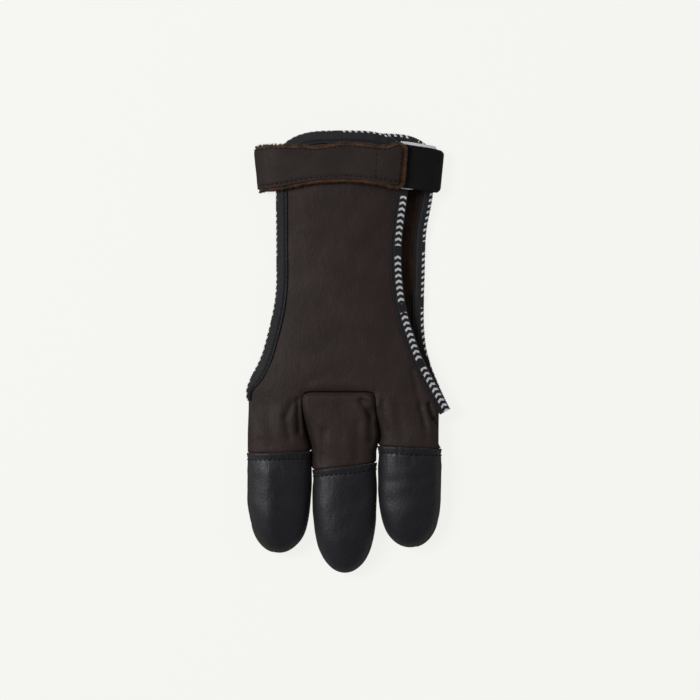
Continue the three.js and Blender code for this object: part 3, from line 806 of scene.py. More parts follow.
FOLDS = (
    Fold((-24.4, -4.0), (-23.6, -21.0), 1.3, 1.25),
    Fold((-27.2, -6.0), (-30.6, -13.0), 1.7, 0.8),
    Fold((-30.6, -13.0), (-28.6, -24.0), 1.6, 0.75),
    Fold((-26.0, -7.0), (-27.0, -20.0), 1.6, -0.2),
    Fold((-33.5, -8.0), (-33.0, -20.0), 2.6, -0.3),
    Fold((9.0, -4.6), (13.8, -12.4), 1.9, 1.5),
    Fold((13.4, -10.0), (13.8, -25.0), 2.2, 1.1),
    Fold((12.0, -2.6), (17.0, -7.0), 1.3, -0.6),
    Fold((6.0, -7.0), (11.6, -14.0), 1.8, -0.4),
    Fold((-10.8, -20.0), (-11.6, -36.0), 1.8, 0.7),
    Fold((7.2, -16.0), (6.2, -34.0), 2.2, 0.4),
    Fold((10.6, -8.0), (10.0, -22.0), 2.4, -0.3),
    Fold((1.0, -20.0), (2.0, -34.0), 2.6, -0.35),
    Fold((-2.0, -8.0), (5.0, -16.0), 3.2, 0.35),
    Fold((35.2, 11.0), (42.2, -24.0), 1.7, 0.75),
    Fold((43.4, -6.4), (45.8, -13.8), 0.9, 2.0),
    Fold((46.9, -14.0), (48.2, -18.2), 0.8, 1.8),
    Fold((39.0, -6.0), (42.6, -19.0), 1.3, 0.6),
    Fold((41.0, -9.0), (44.0, -18.0), 0.9, -0.35),
    Fold((27.0, -8.0), (30.0, -24.0), 2.6, 0.4),
    Fold((19.5, -5.0), (21.5, -20.0), 1.4, 0.6),
    Fold((23.5, -3.0), (25.0, -16.0), 2.0, -0.3),
    Fold((-44.5, -24.0), (-39.5, -28.0), 1.2, 0.4),
    Fold((-40.0, -12.0), (-37.0, -27.0), 2.8, 0.4),
    Fold((-14.0, 3.6), (8.0, 4.6), 1.8, -0.3),
    Fold((-20.0, 5.0), (-9.0, 9.0), 2.0, 0.25),
    Fold((-12.0, 24.0), (14.0, 30.0), 6.0, 0.3),
    Fold((-22.0, 60.0), (-6.0, 82.0), 6.0, 0.3),
    Fold((6.0, 70.0), (18.0, 86.0), 5.0, 0.25),
)
RING_CAP_FOLDS = (
    Fold((-30.0, -48.0), (-27.0, -70.0), 4.0, 0.3),
    Fold((-39.5, -42.0), (-39.0, -72.0), 4.5, -0.75),
)
MIDDLE_CAP_FOLDS = (Fold((-10.0, -50.0), (8.0, -56.0), 5.0, 0.25),)
INDEX_CAP_FOLDS = (
    Fold((22.0, -46.0), (46.0, -43.0), 3.0, 0.28),
    Fold((24.0, -56.0), (45.0, -52.0), 4.0, 0.28),
)


def closing(y: float) -> float:
    """How far the leather's outer sides have closed into side seams, below the open slits."""
    return smooth(-y, 7, 24)


def index_edge(edge: float, y: float) -> float:
    """The index finger's outer edge: drawn in under the tape's tail, then as wide as its cap."""
    return mix(edge, OUTER_RIGHT - 1.3 * (1 - smooth(-y, 27, 29.5)), smooth(-y, 1.5, 9))


def parting(y: float) -> float:
    """How far the leather has parted into fingers at the valleys between them."""
    return smooth(-y, 0, 24)


def corner_eased(x: float, y: float, width: float = 2.6, shift: float = 0.9) -> Place:
    """Rounds the insert's two upper corners, on both leathers alike.

    Args:
        x: Millimetres.
        y: Millimetres.
        width: How far round a corner it reaches.
        shift: How far the corner itself moves each way.

    Returns:
        The eased place.
    """
    for corner, way in ((BACK.cuts[0], shift), (BACK.cuts[1], -shift)):
        near = dip(math.hypot(x - corner, y), width)
        x, y = x + way * near, y - shift * near
    return x, y


def seam_distance(x: float, y: float) -> float:
    """Distance from the seam round the insert; positive inside the insert.

    Args:
        x: Millimetres.
        y: Millimetres.

    Returns:
        The distance in millimetres.
    """
    left, right = follow(INSERT_LEFT, -y), follow(INSERT_RIGHT, -y)
    inside = min(x - left, right - x)
    if y <= 0:
        return min(inside, -y) if inside > 0 else inside
    beside = max(BACK.cuts[0] - x, x - BACK.cuts[1], 0.0)
    return -math.hypot(beside, y)


@dataclass(frozen=True)
class Hand:
    """The shape that the glove's leathers share."""

    tuck: float = 6.0  # how far a sleeve runs up inside its cap
    seam_height: float = 5.6
    cap_height: float = 14.8
    cap_wall: float = 1.6
    cap_room: float = 0.5  # between a cap's wall and the sleeve inside it

    def spread(self, t: float) -> float:
        """Share of a finger's width for an even step across, closer together at its sides."""
        return 0.55 * (1 - math.cos(math.pi * t)) / 2 + 0.45 * t

    def over_hand(self, layer: Layer, block: int, t: float, share: float) -> Place:
        """A place on the flat of the hand.

        Args:
            layer: The leather.
            block: 0 to 2, the finger below it.
            t: Even step across that finger's block.
            share: Of the way from the knuckle seam to the wrist edge.

        Returns:
            Its x and y in millimetres.
        """
        ends = (layer.left(0), *layer.cuts, layer.right(0))
        x = mix(ends[block], ends[block + 1], self.spread(t))
        knuckle = (x - ends[0]) / (ends[3] - ends[0])
        across = mix(knuckle, mix((block + t) / 3, knuckle, 0.3), smooth(share, 0.05, 0.5))
        bound = TAPE_ROOM * smooth(share * HAND_LENGTH, 0, 6)
        y = share * (layer.wrist(2 * across - 1) - bound)
        return mix(layer.left(y) + bound, layer.right(y) - bound, across), y

    def sleeve_z(self, layer: Layer, finger: Finger, x: float, y: float, across: float) -> float:
        """Height of a finger's leather between the knuckle seam and its cap.

        Args:
            layer: The leather.
            finger: The finger.
            x: Millimetres.
            y: Millimetres.
            across: Share of the finger's width.

        Returns:
            Its height in millimetres.
        """
        left, right = finger.valleys
        apart = parting(y) if (left if across < 0.5 else right) else 1.0
        own = mix(layer.sleeve, mix(layer.sleeve, layer.seam, apart), 1 - layer.rise(across))
        to_valley = 0.0
        if left != right:
            to_valley = across if left else 1 - across
        near = 1 - smooth(to_valley, 0.2, 0.75)
        return mix(layer.height(x, y), own, mix(closing(y), parting(y) ** 0.6, near))

    def tucked(self, layer: Layer, finger: Finger, across: float, depth: float) -> Place:
        """A place of a sleeve's end inside its cap.

        Args:
            layer: The leather.
            finger: The finger.
            across: Share of its width.
            depth: How far it is inside the cap, in millimetres.

        Returns:
            Its x and z in millimetres.
        """
        narrow = math.sqrt(max(1 - max(depth / finger.cap, 0) ** finger.bluntness, 0))
        inset = self.cap_wall + self.cap_room
        x = finger.axis + (across - 0.5) * (finger.width * narrow - 2 * inset)
        if layer.face > 0:
            tall = self.cap_height - inset - layer.seam
        else:
            tall = layer.seam - inset
        return x, layer.seam + layer.face * layer.rise(across) * tall

    def sleeve(self, layer: Layer, finger: Finger, sides: Sides, t: float, depth: float) -> Spot:
        """A place on a finger's sleeve.

        Args:
            layer: The leather.
            finger: The finger.
            sides: x of the leather's two edges at a y.
            t: Even step across.
            depth: Distance below the knuckle seam.

        Returns:
            x, y and z in millimetres.
        """
        y = -depth
        across = self.spread(t)
        left, right = sides(y)
        x = mix(left, right, across)
        z = self.sleeve_z(layer, finger, x, y, across)
        mouth = finger.sleeve + finger.tilt * (2 * across - 1)
        inside = smooth(depth, mouth - 0.9, mouth + 0.5)
        if inside:
            x_in, z_in = self.tucked(layer, finger, across, depth - mouth)
            x, z = mix(x, x_in, inside), mix(z, z_in, inside)
        return x, y, z


HAND = Hand()


def pressed(x: float, y: float) -> float:
    """How far folds and unevenness lower the back's leather at a place."""
    folds = sum(fold.press(x, y) for fold in FOLDS)
    return folds - 0.22 * uneven(x, y, 16) - 0.1 * uneven(x, y, 6, 4.0)


def lay_block(
    bm: bmesh.types.BMesh,
    layer: Layer,
    block: int,
    grid: tuple[int, int],
    surface: Callable[[float, float, float], Vector],
) -> None:
    """Lays the part of a leather, over or under the hand, that leads to one finger.

    Args:
        bm: The mesh.
        layer: The leather.
        block: 0 to 2, the finger below it.
        grid: Faces across and along.
        surface: Turns a bare place into a finished one.
    """

    def over(t: float, share: float) -> Vector:
        """A place of this block."""
        x, y = HAND.over_hand(layer, block, t, share)
        return surface(x, y, layer.height(x, y))

    lay(bm, *grid, over, lambda t, v: (t * 35, v * HAND_LENGTH))


def lay_sleeve(
    bm: bmesh.types.BMesh,
    layer: Layer,
    finger: Finger,
    sides: Sides,
    grid: tuple[int, int],
    surface: Callable[[float, float, float], Vector],
) -> None:
    """Lays one finger's part of a leather, down into its cap.

    Args:
        bm: The mesh.
        layer: The leather.
        finger: The finger.
        sides: x of the leather's two edges at a y.
        grid: Faces across and along.
        surface: Turns a bare place into a finished one.
    """

    def below(t: float, share: float) -> Vector:
        """A place of this sleeve."""
        depth = (1 - share) * (finger.sleeve + HAND.tuck)
        return surface(*HAND.sleeve(layer, finger, sides, t, depth))

    lay(bm, *grid, below, lambda t, v: (t * 33, v * 36))


@dataclass
class BackPanel:
    """The leather over the back of the hand, with the backs of the ring and index fingers."""

    columns: int = 46
    hand_rows: int = 120
    sleeve_rows: int = 46
    seam_depth: float = 0.95  # of the seam round the insert
    seam_width: float = 1.3
    slope_depth: float = 0.3  # of the wider hollow round that
    slope_width: float = 4.5

    def surface(self, x: float, y: float, z: float) -> Vector:
        """A place on the panel with its folds and its turned edge at the insert's seam.

        Args:
            x: Millimetres.
            y: Millimetres.
            z: Millimetres.

        Returns:
            The place in metres.
        """
        away = seam_distance(x, y)
        sunk = self.seam_depth * dip(away, self.seam_width)
        sunk += self.slope_depth * dip(away, self.slope_width)
        x, y = corner_eased(x, y)
        return here(x, y, z - smooth(z, 6.2, 9.0) * (pressed(x, y) + sunk))

    def make(self) -> None:
        """Builds the panel: three blocks over the hand, and two fingers below them."""
        bm = bmesh.new()
        for block in range(3):
            lay_block(bm, BACK, block, (self.columns, self.hand_rows), self.surface)
        for finger, sides in ((RING, self.ring_sides), (INDEX, self.index_sides)):
            lay_sleeve(bm, BACK, finger, sides, (self.columns, self.sleeve_rows), self.surface)
        weld(bm)
        finishes = (Finish.HAND, Finish.LINING)
        dress(bm, "back_leather", finishes, ("back_panel",), HAND_WALL, 1)

    @staticmethod
    def ring_sides(y: float) -> Place:
        """The two edges of the ring finger's leather."""
        inner = min(follow(INSERT_LEFT, -y) - SEAM_GAP, RING.axis + RING.width / 2)
        return mix(BACK.left(y), OUTER_LEFT, closing(y)), mix(BACK.cuts[0], inner, smooth(-y, 0, 0.5))

    @staticmethod
    def index_sides(y: float) -> Place:
        """The two edges of the index finger's leather.

        Args:
            y: Millimetres.

        Returns:
            Their x in millimetres.
        """
        own = INDEX.axis - INDEX.width / 2 - 2 * smooth(y, -20, -12)
        inner = max(follow(INSERT_RIGHT, -y) + SEAM_GAP, own)
        return mix(BACK.cuts[1], inner, smooth(-y, 0, 0.5)), index_edge(BACK.right(y), y)


@dataclass
class MiddleInsert:
    """The middle finger's own back leather, which stands a little proud of the panel round it."""

    columns: int = 60
    rows: int = 70
    puff: float = 0.75  # how far it stands proud, and how far its turned edge is sunk
    roll: float = 1.5  # width of its turned edge

    def surface(self, x: float, y: float, z: float) -> Vector:
        """A place on the insert with its folds and its turned edge.

        Args:
            x: Millimetres.
            y: Millimetres.
            z: Millimetres.

        Returns:
            The place in metres.
        """
        inside = max(seam_distance(x, min(y, 0)), 0.0)
        proud = self.puff * (1 - smooth(-y, 26, 36))
        edge = (proud + self.puff) * dip(inside, self.roll) - proud
        x, y = corner_eased(x, y)
        return here(x, y, z - smooth(z, 6.4, 9.0) * (pressed(x, y) + edge))

    @staticmethod
    def sides(y: float) -> Place:
        """The insert's two edges."""
        return follow(INSERT_LEFT, -y) + SEAM_GAP, follow(INSERT_RIGHT, -y) - SEAM_GAP

    def make(self) -> None:
        """Builds the insert from the knuckle seam down into the middle cap."""
        bm = bmesh.new()

        def over(t: float, share: float) -> Vector:
            """A place on the insert."""
            depth = mix(SEAM_GAP, MIDDLE.sleeve + HAND.tuck, (1 - share) ** 1.15)
            return self.surface(*HAND.sleeve(BACK, MIDDLE, self.sides, t, depth))

        lay(bm, self.columns, self.rows, over, lambda t, v: (t * 36, v * 42))
        finishes = (Finish.HAND, Finish.LINING)
        dress(bm, "insert_leather", finishes, ("middle_insert",), HAND_WALL, 1)


@dataclass
class PalmPanel:
    """The leather under the palm and the three fingers, napped side in."""

    columns: int = 26
    hand_rows: int = 90
    sleeve_rows: int = 34

    @staticmethod
    def surface(x: float, y: float, z: float) -> Vector:
        """A place on the palm, a little uneven but flat where it rests."""
        free = smooth(z, 0.9, 2.0)
        return here(x, y, z + free * 0.25 * uneven(x, y, 18, 9.0))

    def make(self) -> None:
        """Builds the palm: three blocks over the hand, each running on down its finger."""
        bm = bmesh.new()
        for block, finger in enumerate((RING, MIDDLE, INDEX)):
            lay_block(bm, PALM, block, (self.columns, self.hand_rows), self.surface)
            sides = partial(self.sides, finger)
            lay_sleeve(bm, PALM, finger, sides, (self.columns, self.sleeve_rows), self.surface)
        weld(bm)
        bmesh.ops.reverse_faces(bm, faces=bm.faces)
        finishes = (Finish.HAND, Finish.LINING)
        dress(bm, "palm_leather", finishes, ("palm_panel",), HAND_WALL, 1)

    def sides(self, finger: Finger, y: float) -> Place:
        """The two edges of a finger's underside."""
        left = mix(PALM.left(y), OUTER_LEFT, closing(y)) if finger is RING else self.cut(y, finger, -1)
        return left, index_edge(PALM.right(y), y) if finger is INDEX else self.cut(y, finger, 1)

    @staticmethod
    def cut(y: float, finger: Finger, way: int) -> float:
        """Where a finger's leather ends beside another: halfway between them, then at its own side.

        Args:
            y: Millimetres.
            finger: The finger.
            way: -1 for its left side, 1 for its right side.

        Returns:
            The edge's x in millimetres.
        """
        by_index = finger is INDEX or (finger is MIDDLE and way > 0)
        whole, start = (BETWEEN, 25.5) if by_index else (-BETWEEN, 28.0)
        own = finger.axis + way * finger.width / 2
        if finger is MIDDLE and way < 0:
            own = mix(-17.6, own, smooth(-y, 38.5, 40.5))  # stays by the ring finger as far as its cap
        return mix(whole, own, smooth(-y, start, start + 2.5))


@dataclass
class FingerCap:
    """A fingertip's stitched cap: a turned hem at its mouth, a stitch line, and gathers below that."""

    finger: Finger
    columns: int = 132
    rows: int = 96
    hem: float = 2.5
    hem_rise: float = 0.38  # at the mouth, falling away to the stitches
    groove: float = 0.55  # from the hem to the stitches
    wall: float = 1.5
    seam_steps: int = 420
    gathers: float = 0.3  # height of the gathers below the stitches
    fade: float = 3.2  # length over which the gathers die out
    pucker: float = 0.26  # height of the hem's own waves
    dents: Place = (0.5, 0.16)  # heights of the wide and the narrow dents all over
    folds: tuple[Fold, ...] = ()
    stitch: Stitch = Stitch(1.75, 2.45, 0.4)
    lip: Place | None = None  # where the lower half shows past the upper one, from the mouth

    def ring(self, turn: float, down: float) -> Spot:
        """A bare place on the cap.

        Args:
            turn: 0 to 1 round it, from its left seam over the top.
            down: Millimetres from the mouth towards the tip.

        Returns:
            x, z and how far it faces up, -1 to 1.
        """
        finger = self.finger
        along = min(max(down / finger.cap, 0.0), 1.0)
        half = finger.width / 2 * math.sqrt(max(1 - along**finger.bluntness, 0.0))
        angle = math.tau * turn
        c, s = -math.cos(angle), math.sin(angle)
        if s >= 0:
            layer, tall, blunt = BACK, HAND.cap_height - HAND.seam_height, 4.5
        else:
            layer, tall, blunt = PALM, HAND.seam_height, 8
        tall *= math.sqrt(max(1 - along**blunt, 0.0))
        x = math.copysign(abs(c) ** (2 / layer.rise_power), c) * half
        z = math.copysign(abs(s) ** (2 * layer.rise_root), s) * tall
        return finger.axis + x, HAND.seam_height + z, s

    def place(self, turn: float, down: float, out: float = 0.0) -> Vector:
        """A place on the finished cap.

        Args:
            turn: 0 to 1 round it.
            down: Millimetres from the mouth towards the tip.
            out: How far it lies over the leather.

        Returns:
            The place in metres.
        """
        finger = self.finger
        x, z, up = self.ring(turn, down)
        y = -finger.sleeve - down
        across = (x - finger.axis) / (finger.width / 2)
        mouth = 1 - smooth(down, 3, 14)
        y -= mouth * (finger.tilt * across - 0.4 * uneven(x, up * 3, 9, finger.seed))
        below = down - self.hem
        proud = self.hem_rise * (1 - smooth(down, 0.1, self.hem + 0.4))
        proud -= 0.08 * dip(below - self.groove, 0.9)
        gather = math.exp(-max(below - 0.6, 0.0) / self.fade) * smooth(below, 0, 2.4)
        pleat = uneven(x, 0.0, 1.9, finger.seed + 2) + 0.5 * uneven(x, 0.0, 4.1, finger.seed)
        proud += self.gathers * gather * pleat
        proud += self.pucker * (1 - smooth(below, -0.4, 0.6)) * uneven(x, up * 4, 1.8, finger.seed)
        tip = smooth(finger.cap - down, 0.0, 9.0)
        soft = self.dents[0] * uneven(x, y, 17, finger.seed)
        soft += self.dents[1] * uneven(x, y, 6, finger.seed)
        proud += tip * smooth(down, 4, 12) * soft
        if up > 0:
            proud -= tip * up * sum(fold.press(x, y) for fold in self.folds)
        away = Vector(((x - finger.axis) / (finger.width / 2), 0.0, (z - HAND.seam_height) / 9.0))
        away = away.normalized() if away.length > 1e-6 else Vector((0, 0, 0))
        proud = (proud + out) * (1.0 if up > -0.2 else 0.35)
        low = 0.45 * dip(up + 0.22, 0.2) * smooth(down, 4, 10) * tip
        place = here(x, y, z) + away * (proud + low) * MM
        place.z = max(place.z, 0.0)
        return place

    def down(self, share: float) -> float:
        """Spaces the grid's rows, closer together at hem and tip.

        Args:
            share: Of the grid, from the mouth.

        Returns:
            The distance from the mouth in millimetres.
        """
        mouth_share, mouth_end, cap = 0.2, 5.0, self.finger.cap
        if share < mouth_share:
            return mix(-0.3, mouth_end, share / mouth_share)
        rest = (share - mouth_share) / (1 - mouth_share)
        return mix(mouth_end, cap, 1 - (1 - rest) ** 1.9) if rest < 1 else cap

    def make(self) -> None:
        """Builds the cap and sews its hem."""
        bm = bmesh.new()
        lay(
            bm,
            self.columns,
            self.rows,
            lambda turn, share: self.place(turn, self.down(share)),
            lambda turn, share: (turn * 80, share * self.finger.cap),
        )
        weld(bm)
        bmesh.ops.recalc_face_normals(bm, faces=bm.faces)
        node = f"{self.finger.name}_cap"
        finishes = (Finish.CAP, Finish.LINING)
        dress(bm, f"{node}_leather", finishes, (node,), self.wall, 1, 1)
        self.sew(node)
        if self.lip:
            self.show_lip(*self.lip)

    def sew(self, node: str) -> None:
        """Sews the hem all round.

        Args:
            node: The cap's node.
        """
        seam = bmesh.new()
        steps = self.seam_steps
        line = [self.place(i / steps, self.hem + self.groove, 0.04) for i in range(steps + 1)]
        for spot in line:
            spot.z = max(spot.z, 1.2 * self.stitch.radius * MM)
        middle = here(self.finger.axis, 0, 7.0)

        def up(i: int) -> Vector:
            """Outwards from the finger at a point of the line."""
            return Vector((line[i].x - middle.x, 0, line[i].z - middle.z)).normalized()

        count = self.stitch.sew(seam, line, up)
        dress(seam, f"{node}_stitches", (Finish.THREAD,))
        log.info("%s: %d stitches", node, count)

    def show_lip(self, start: float, end: float) -> None:
        """Lays the cut edge of the cap's lower half where it shows past the upper one.

        Args:
            start: Where it begins, in millimetres from the mouth; on the left where positive.
            end: Where it ends; negative distances lie on the right side.
        """
        turn = 0.0 if start >= 0 else 0.5
        height, thickness, out = 4.9, 0.5, 0.25
        bm = bmesh.new()

        def bead(round_it: float, share: float) -> Vector:
            """A place on the bead.

            Args:
                round_it: Share of the way round it.
                share: Of its length.

            Returns:
                The place in metres.
            """
            down = abs(mix(start, end, share))
            size = thickness * math.sqrt(max(math.sin(math.pi * share), 0.0))
            x, _, _ = self.ring(turn, down)
            away = Vector((x - self.finger.axis, -0.9 * max(down - 30.0, 0.0), 0.0)).normalized()
            angle = math.tau * round_it
            centre = here(x, -self.finger.sleeve - down, height + size * math.sin(angle))
            return centre + away * (out + size * math.cos(angle)) * MM

        lay(bm, 10, 60, bead, lambda a, b: (a * 3, b * 20))
        weld(bm)
        bmesh.ops.recalc_face_normals(bm, faces=bm.faces)
        dress(bm, f"{self.finger.name}_cap_lip", (Finish.CUT_EDGE,))


# ---------------------------------------------------------------- tape, strap and elastic


def span(points: Sequence[Vector]) -> float:
    """The length of a line through points."""
    return sum((b - a).length for a, b in zip(points, points[1:]))


def evenly(points: Sequence[Vector], step: float) -> list[Vector]:
    """Points at equal distances along a line.

    Args:
        points: The line's points.
        step: The distance between the new ones, about.

    Returns:
        The new points.
    """
    lengths = [0.0]
    for a, b in zip(points, points[1:]):
        lengths.append(lengths[-1] + (b - a).length)
    count = max(round(lengths[-1] / step), 1)
    spaced, i = [], 0
    for k in range(count + 1):
        at = lengths[-1] * k / count
        while i < len(points) - 2 and lengths[i + 1] < at:
            i += 1
        gap = lengths[i + 1] - lengths[i]
        spaced.append(points[i].lerp(points[i + 1], (at - lengths[i]) / gap if gap else 0.0))
    return spaced


def rounded(points: Sequence[Vector], passes: int) -> list[Vector]:
    """Eases a line's corners, keeping its ends.

    Args:
        points: The line's points.
        passes: How often each point moves half the way to the middle of its neighbours.

    Returns:
        The eased line.
    """
    line = list(points)
    for _ in range(passes):
        inner = [0.5 * b + 0.25 * (a + c) for a, b, c in zip(line, line[1:], line[2:])]
        line = [line[0], *inner, line[-1]]
    return line


@dataclass
class EdgeBinding:
    """Woven tape folded over a leather's open edge and sewn down through both sides."""

    layer: Layer
    node: str
    step: float = 0.36
    columns: int = 38
    cover: float = 5.2
    end_cover: float = 1.2
    turn: float = 15.0
    tail: float = 5.3
    wrist_cover: float = 0.9  # more over the wrist
    wrist_place: float = 165.0  # from the end of the tape to the middle of the wrist
    wrist_half: float = 40.0
    slit: float = 4.6
    out: float = 0.85  # how far the tape stands out from the leather
    rib: float = 1.3  # spacing of the fold's ripples
    seam: float = 1.25  # from the tape's rims to its stitches
    seam_ends: Place = (0.012, 0.965)  # where the stitches begin and end, as shares of its length
    channel: Place = (0.42, 0.5)  # depth and width of the channel that the stitches lie in
    wall: float = 0.5
    girth: float = 3.4  # width of tape that goes into the fold
    side: float = 128.0  # length of tape along one side of the glove
    stitch: Stitch = Stitch(1.8, 2.75, 0.22)
    path: list[Vector] = field(default_factory=list)

    def __post_init__(self) -> None:
        """Lays out the edge that it follows: up the right side, over the wrist, down the left."""
        layer = self.layer
        top = layer.wrist(1)
        count = 130
        heights = [mix(-self.slit, top, i / count) for i in range(count)]
        right = [Vector((layer.right(y), y)) for y in heights]
        wrist = []
        for i in range(count + 1):
            u = 1 - 2 * i / count
            y = layer.wrist(u)
            wrist.append(Vector((mix(layer.left(y), layer.right(y), (u + 1) / 2), y)))
        heights = [mix(top, -self.slit, (i + 1) / count) for i in range(count)]
        left = [Vector((layer.left(y), y)) for y in heights]
        ahead = (right[0] - right[1]).normalized()
        line = rounded(evenly([*right, *wrist, *left], 1.0), 9)
        self.path = evenly([line[0] + ahead * self.tail, *line], self.step)

    @property
    def length(self) -> float:
        """The tape's length in millimetres."""
        return (len(self.path) - 1) * self.step

    def fold_height(self, share: float) -> float:
        """Height of the tape's fold over the leather's outer face, over the edge and back under it."""
        middle = -HAND_WALL / 2
        return middle + (self.out - middle) * math.cos(math.pi * share)

    def cross(self, across: float) -> Spot:
        """A place on the cross-section.

        Args:
            across: 0 to 1, from the upper face's inner edge over the fold.

        Returns:
            Share of the cover inwards (negative is outwards in millimetres), height over the leather,
            and how far it is part of the fold, 0 to 1.
        """
        upper, fold = 0.377, 0.246
        if across < upper:
            return 1 - across / upper, self.out, 0.0
        if across < upper + fold:
            share = (across - upper) / fold
            bent = math.sin(math.pi * share)
            return -self.out * bent, self.fold_height(share), bent
        share = (across - upper - fold) / (1 - upper - fold)
        return share, -HAND_WALL - self.out, 0.0

    def place(self, run: float, inward: float, height: float, wavy: float = 0.0) -> Vector:
        """A place on the tape.

        Args:
            run: Share of its length, from the tail.
            inward: Share of the cover, or millimetres outwards where negative.
            height: Over the leather's upper side, downwards for the palm's.
            wavy: How much of the fold's ripple it takes.

        Returns:
            The place in metres.
        """
        at = run * (len(self.path) - 1)
        i = min(int(at), len(self.path) - 2)
        p = self.path[i].lerp(self.path[i + 1], at - i)
        a, b = self.path[max(i - 2, 0)], self.path[min(i + 3, len(self.path) - 1)]
        ahead = (b - a).normalized()
        side = Vector((-ahead.y, ahead.x))
        to_end = (1 - run) * self.length
        cover = mix(self.end_cover, self.cover, smooth(to_end, 0, self.turn))
        cover += self.wrist_cover * smooth(self.wrist_half - abs(to_end - self.wrist_place), 0, 20)
        depth = inward * cover if inward > 0 else inward
        ripple = 0.16 * wavy * math.sin(math.tau * at * self.step / self.rib)
        ripple += 0.1 * wavy * uneven(at * self.step, 0, 2.1, 5.0)
        q = p + side * (depth - ripple)
        base = self.layer.height(q.x, q.y)
        if self.layer.face < 0:
            base += HAND_WALL
        return here(q.x, q.y, base + height)

    def surface(self, across: float, run: float) -> Vector:
        """A place on the tape's outer face, with its sewn channel and thickened rim.

        Args:
            across: Share across the tape, from its upper rim over the fold.
            run: Share of its length.

        Returns:
            The place in metres.
        """
        inward, height, wavy = self.cross(across)
        over = 1.0 if height > -HAND_WALL / 2 else -1.0
        if inward > 0:
            from_rim = (1 - inward) * self.cover
            depth, width = self.channel
            height -= over * (depth * dip(from_rim - self.seam, width) - 0.08 * dip(from_rim - 0.25, 0.4))
            height -= over * 0.45 * dip(from_rim, 0.22)
            height += over * 0.12 * uneven(run * 330, inward * 5, 3.5, 2.0)
        return self.place(run, inward, height, wavy)

    def band_middle(self, run: float) -> float:
        """Where the woven band's middle lies: the tape isn't folded evenly.

        Args:
            run: Share of the tape's length.

        Returns:
            The distance from the tape's upper rim in millimetres.
        """
        at = run * self.length
        left = self.length - self.side
        if self.layer.face > 0:
            over_wrist = smooth(at, self.side - 8, self.side + 8)
            down_left = smooth(at, left + 4, left + 18)
            return mix(mix(3.95, mix(6.7, 7.4, smooth(at, 174, 188)), over_wrist), 7.3, down_left)
        return mix(7.6, 6.1, smooth(at, 15, 45) * (1 - smooth(at, left, left + 15)))

    def make(self) -> None:
        """Builds the tape and sews both of its faces."""
        length = self.length
        width = 2 * self.cover + self.girth
        bm = bmesh.new()
        lay(
            bm,
            self.columns,
            len(self.path) - 1,
            self.surface,
            lambda across, run: (across * width - self.band_middle(run), run * length),
        )
        bmesh.ops.recalc_face_normals(bm, faces=bm.faces)
        above = [f for f in bm.faces if f.calc_center_median().z > self.middle_z(f)]
        if sum(f.normal.z * f.calc_area() for f in above) < 0:
            bmesh.ops.reverse_faces(bm, faces=bm.faces)
        dress(bm, f"{self.node}_tape", (Finish.TAPE,), (self.node,), self.wall)

        seam = bmesh.new()
        count = 0
        inward = 1 - self.seam / self.cover
        last = len(self.path) - 1
        begin, end = (round(share * last) for share in self.seam_ends)
        sunk = self.out - 0.4
        for face, height in ((1, sunk), (-1, -HAND_WALL - sunk)):
            line = [self.place(i / last, inward, height) for i in range(begin, end)]
            count += self.stitch.sew(seam, line, lambda i, face=face: Vector((0, 0, face)))
        dress(seam, f"{self.node}_stitches", (Finish.THREAD,))
        log.info("%s: %d stitches", self.node, count)

    def middle_z(self, face: bmesh.types.BMFace) -> float:
        """Height of the leather's middle under a face of the tape.

        Args:
            face: The face.

        Returns:
            The height in metres.
        """
        spot = face.calc_center_median() / MM
        base = self.layer.height(spot.x + CENTRE[0], spot.y + CENTRE[1])
        return (base + self.layer.face * -HAND_WALL / 2) * MM


@dataclass
class Loop:
    """A flat band that runs round the wrist in a loop, seen along the hand."""

    run: Sequence[Place]  # x and z of the band's middle
    way: int  # 1 where it runs round the right side, -1 round the left
    steps: int
    line: list[Vector] = field(default_factory=list)
    length: float = 0.0  # millimetres
    fold: float = 0.0  # share of its length where x is furthest to its side

    def __post_init__(self) -> None:
        """Draws a smooth line through the run."""
        points = [Vector(p) for p in self.run]
        dense = []
        for i in range(len(points) - 1):
            p0, p1 = points[max(i - 1, 0)], points[i]
            p2, p3 = points[i + 1], points[min(i + 2, len(points) - 1)]
            bend, twist = 2 * p0 - 5 * p1 + 4 * p2 - p3, 3 * p1 - p0 - 3 * p2 + p3
            for t in (k / 12 for k in range(12)):
                dense.append(0.5 * (2 * p1 + (p2 - p0) * t + bend * t * t + twist * t**3))
        dense.append(points[-1])
        self.line = evenly(rounded(dense, 4), span(dense) / self.steps)
        self.length = span(self.line)
        xs = [self.way * p.x for p in self.line]
        self.fold = xs.index(max(xs)) / (len(xs) - 1)

    def at(self, share: float) -> tuple[Vector, Vector]:
        """A place on the loop.

        Args:
            share: Of its length.

        Returns:
            x and z there, and the direction out of the loop.
        """
        at = share * (len(self.line) - 1)
        i = min(int(at), len(self.line) - 2)
        a, b = self.line[max(i - 1, 0)], self.line[min(i + 2, len(self.line) - 1)]
        ahead = (b - a).normalized()
        return self.line[i].lerp(self.line[i + 1], at - i), Vector((-ahead.y, ahead.x)) * self.way


